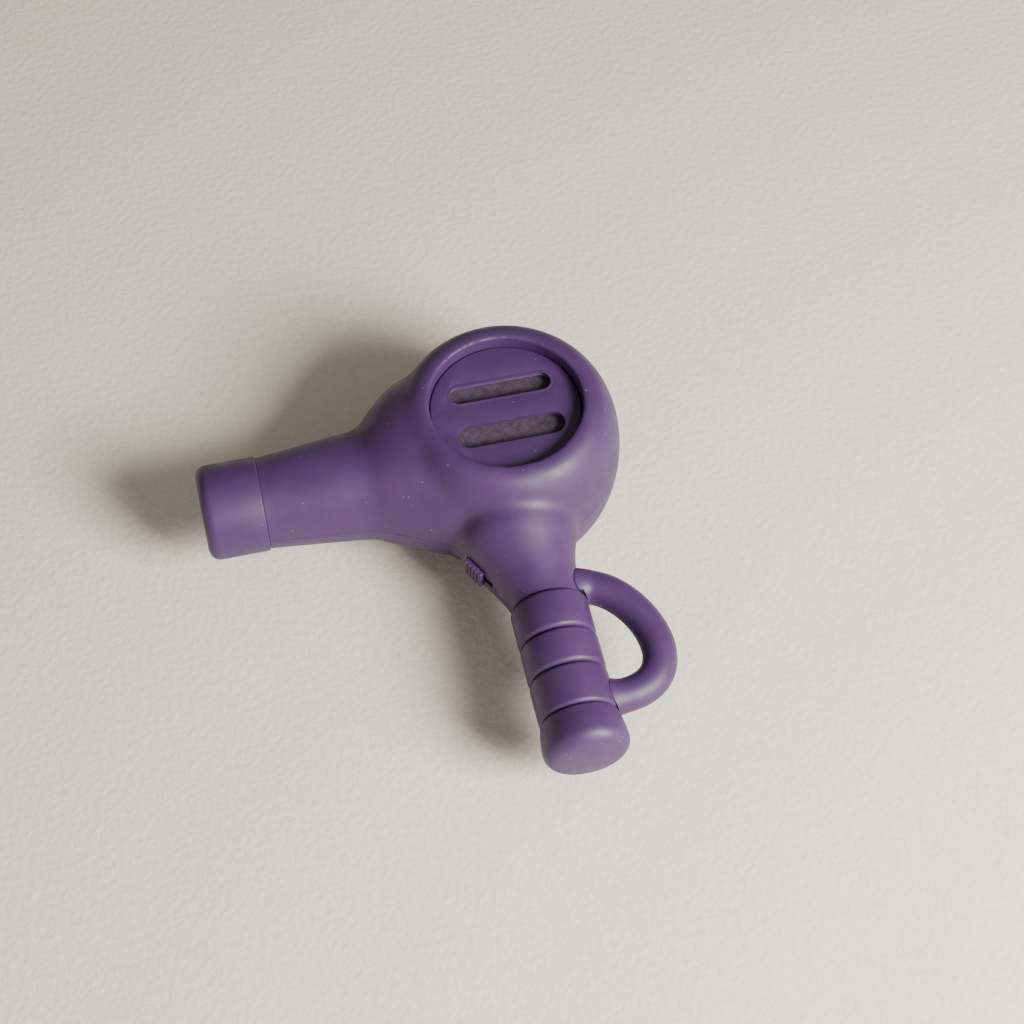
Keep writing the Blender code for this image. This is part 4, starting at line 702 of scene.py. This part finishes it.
# ---- handle end cap
cap = {
    "start": 0.1271, "end": 0.1443, "topRadius": 0.0156, "radius": 0.0169, "round": 0.0055, "lip": 0.0011,
    "sides": [(0.0045, 0.0163), (0.0075, 0.01675)], "crown": 0.0008,
    "dome": [(0.0004, 0.0085), (0.0001, 0.0045), (0, 0.0015)],
    "socketEnd": 0.1307, "hollowRadius": 0.0139, "hollowEnd": 0.1415,
    "hollowTaper": 0.003, "hollowTip": 0.0109,
    "inletHole": {"length": 0.0174, "width": 0.0094, "low": 0.0062, "high": 0.0300},
}
outline = corner(cap["start"] + cap["lip"], cap["topRadius"] - cap["lip"], cap["lip"], -90, 0, 5)
outline += [(cap["start"] + along, radius) for along, radius in cap["sides"]]
shoulderStart = cap["end"] - cap["round"] - cap["crown"]
outline += corner(shoulderStart, cap["radius"] - cap["round"], cap["round"], 0, 78, 10)
outline += [(cap["end"] - below, radius) for below, radius in cap["dome"]]
endCap = turned("endCap", outline, alongHandle, 96)
socketOutline = [(cap["start"] - 0.001, grip["bore"]), (cap["socketEnd"], grip["bore"])]
combine(endCap, turned("capSocket", socketOutline, alongHandle, 72))
hollowOutline = [
    (cap["socketEnd"] - 0.0005, grip["bore"]), (cap["socketEnd"] + 0.0004, cap["hollowRadius"]),
    (cap["hollowEnd"] - cap["hollowTaper"], cap["hollowRadius"]), (cap["hollowEnd"], cap["hollowTip"]),
]
combine(endCap, turned("capHollow", hollowOutline, alongHandle, 72))
inletSpot = middleOf("inlet_socket")
downFromInlet = Matrix.Translation((inletSpot.x, inletSpot.y, fanAxis.z)) @ Matrix.Rotation(math.pi, 4, "X")
combine(endCap, slotSolid("inletHole", matrix=downFromInlet, **cap["inletHole"]))
finishPiece(endCap, "casing", ["handle_end_cap"], purpleAbs, 40)
print("end cap made")


# ---- hang loop
loop = {
    "radius": 0.0068, "inside": 0.01065, "top": 0.0710, "bottom": 0.1200, "reach": 0.0394,
    "upperPull": 0.023, "upperRise": 0.005, "lowerPull": 1.62, "lowerDrop": 0.006,
    "flare": 0.35, "flareLength": 0.009, "flarePower": 1.5, "steps": 56,
}
lowerReach = loop["inside"] + (loop["reach"] - loop["inside"]) * loop["lowerPull"]
pulls = [
    Vector((loop["inside"], loop["top"], 0)),
    Vector((loop["inside"] + loop["upperPull"], loop["top"] - loop["upperRise"], 0)),
    Vector((lowerReach, loop["bottom"] + loop["lowerDrop"], 0)),
    Vector((loop["inside"], loop["bottom"], 0)),
]
deselectAll()
bpy.ops.curve.primitive_nurbs_path_add(location=(0, 0, 0))
bar = bpy.context.object
bar.name = "hangLoop"
bar.data.splines.clear()
spline = bar.data.splines.new("POLY")
spline.points.add(loop["steps"])
for i in range(loop["steps"] + 1):
    t = i / loop["steps"]
    weights = ((1 - t) ** 3, 3 * t * (1 - t) ** 2, 3 * t * t * (1 - t), t ** 3)
    spot = sum((pull * weight for pull, weight in zip(pulls, weights)), Vector((0, 0, 0)))
    spline.points[i].co = (fanAxis.x + spot.x, fanAxis.y - spot.y, fanAxis.z, 1)
    nearEnd = max(0, 1 - abs(spot.x - loop["inside"]) / loop["flareLength"])
    spline.points[i].radius = 1 + loop["flare"] * nearEnd ** loop["flarePower"]
bar.data.bevel_depth = loop["radius"]
bar.data.bevel_resolution = 10
bar.data.use_fill_caps = True
bpy.ops.object.convert(target="MESH")
makeActive(bar)
bpy.ops.object.mode_set(mode="EDIT")
bpy.ops.mesh.select_all(action="SELECT")
bpy.ops.mesh.remove_doubles(threshold=0.00001)
bpy.ops.mesh.normals_make_consistent(inside=False)
bpy.ops.object.mode_set(mode="OBJECT")
combine(bar, stackRings("neckClear", neckRings(0.0002, neckEnd), alongHandle, 96), solver="EXACT")
clearOutline = [(neckEnd - 0.001, grip["clear"]), (0.15, grip["clear"])]
combine(bar, turned("gripClear", clearOutline, alongHandle, 96), solver="EXACT")
finishPiece(bar, "casing", ["hang_loop"], purpleAbs, 50)
print("hang loop made")


# ---- switch button
button = {
    "length": 0.0095, "width": 0.0090, "proud": 0.0014, "bottom": -0.0007, "start": 0.0006,
    "grooves": 4, "groovePitch": 0.0019, "stemSize": (0.0034, 0.0028, 0.0044), "stemDepth": 0.0021,
    "sliderSize": (0.0012, 0.0062, 0.0176), "sliderDepth": 0.0035, "sliderShift": 0.0003,
}
mid = button["start"] + button["length"] / 2
padSize = (button["proud"] - button["bottom"], button["width"], button["length"])
pad = block("switchPad", padSize, ((button["proud"] + button["bottom"]) / 2, 0, mid), onTrack)
for i in range(button["grooves"]):
    along = mid + (i - (button["grooves"] - 1) / 2) * button["groovePitch"]
    grooveSize = (0.0009, button["width"] + 0.002, 0.0008)
    combine(pad, block("groove", grooveSize, (button["proud"], 0, along), onTrack))
softenEdges(pad, 0.0003, 3, 50)
combine(pad, block("stem", button["stemSize"], (-button["stemDepth"], 0, mid), onTrack), "UNION")
sliderSpot = (-button["sliderDepth"], 0, mid + button["sliderShift"])
combine(pad, block("slider", button["sliderSize"], sliderSpot, onTrack), "UNION")
finishPiece(pad, "switch_button", ["switch_button"], purpleAbs, 40)
print("switch button made")


# ---- casing screws
screwShape = {
    "radius": 0.00125, "headRadius": 0.0026, "headHeight": 0.0018, "recess": 0.0011, "armLength": 0.0030,
    "armWidth": 0.0007, "dome": [(0, 0.0016), (0.0002, 0.0021), (0.0006, 0.0025)], "pointLength": 0.0012,
    "pointRadius": 0.0005,
}
for i in range(1, 5):
    low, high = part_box(f"casing_screw_{i}")
    spot = Matrix.Translation(((low.x + high.x) / 2, (low.y + high.y) / 2, low.z))
    length = high.z - low.z
    head, wide, thin = screwShape["headHeight"], screwShape["headRadius"], screwShape["radius"]
    outline = screwShape["dome"] + [(head * 0.6, wide), (head, wide), (head, thin)]
    outline += [(length - screwShape["pointLength"], thin), (length, screwShape["pointRadius"])]
    fastener = turned(f"casingScrew{i}", outline, spot, 32)
    armSize = (screwShape["armLength"], screwShape["armWidth"], 2 * screwShape["recess"])
    for turn in (0, math.pi / 2):
        arm = block("crossRecess", armSize, (0, 0, 0), spot @ Matrix.Rotation(turn, 4, "Z"))
        combine(fastener, arm)
    finishPiece(fastener, "casing", [f"casing_screw_{i}"], zincSteel, 35)
print("casing screws made")


# ---- floor and light
def paleFloor():
    # heavy pale paper: warm white, with a soft tooth that catches the light
    material, shader = newMaterial("palePaper", 0.9)
    spot = addNode(material, "ShaderNodeTexCoord")
    fibreMm = 3.0
    fibre = addNode(
        material, "ShaderNodeTexNoise", {"Scale": 1000 / fibreMm, "Detail": 5.0}, Vector=(spot, "Object")
    )
    colour = colourRamp(material, fibre, "Fac", [(0.3, linear("#D6D2CA")), (0.7, linear("#DDD9D2"))])
    join(material, colour, "Color", shader, "Base Color")
    bump = addNode(material, "ShaderNodeBump", {"Strength": 0.55, "Distance": 0.0009}, Height=(fibre, "Fac"))
    join(material, bump, "Normal", shader, "Normal")
    return material


deselectAll()
bpy.ops.mesh.primitive_plane_add(size=4, location=(0, 0, cadBox[0].z - 0.0002))
floor = bpy.context.object
floor.name = "floor"
bpy.ops.object.transform_apply(location=True, rotation=True, scale=True)
floor.data.materials.append(paleFloor())


def softLight(name, spot, aim, size, power, hexColour):
    deselectAll()
    bpy.ops.object.light_add(type="AREA", location=spot)
    lamp = bpy.context.object
    lamp.name = name
    lamp.data.size = size
    lamp.data.energy = power
    lamp.data.color = linear(hexColour)[:3]
    lamp.rotation_euler = (Vector(aim) - Vector(spot)).to_track_quat("-Z", "Y").to_euler()


softLight("windowLight", (0.58, -0.64, 0.66), (0, 0, 0.03), 0.44, 36, "#FFF6EC")
softLight("roomFill", (-0.85, -0.75, 0.55), (0, 0, 0.03), 1.0, 2.6, "#FFF4E6")
world = bpy.data.worlds.new("paleRoom")
world.use_nodes = True
world.node_tree.nodes["Background"].inputs["Color"].default_value = linear("#ECE2D2")
world.node_tree.nodes["Background"].inputs["Strength"].default_value = 0.33
bpy.context.scene.world = world
print("floor and light set")
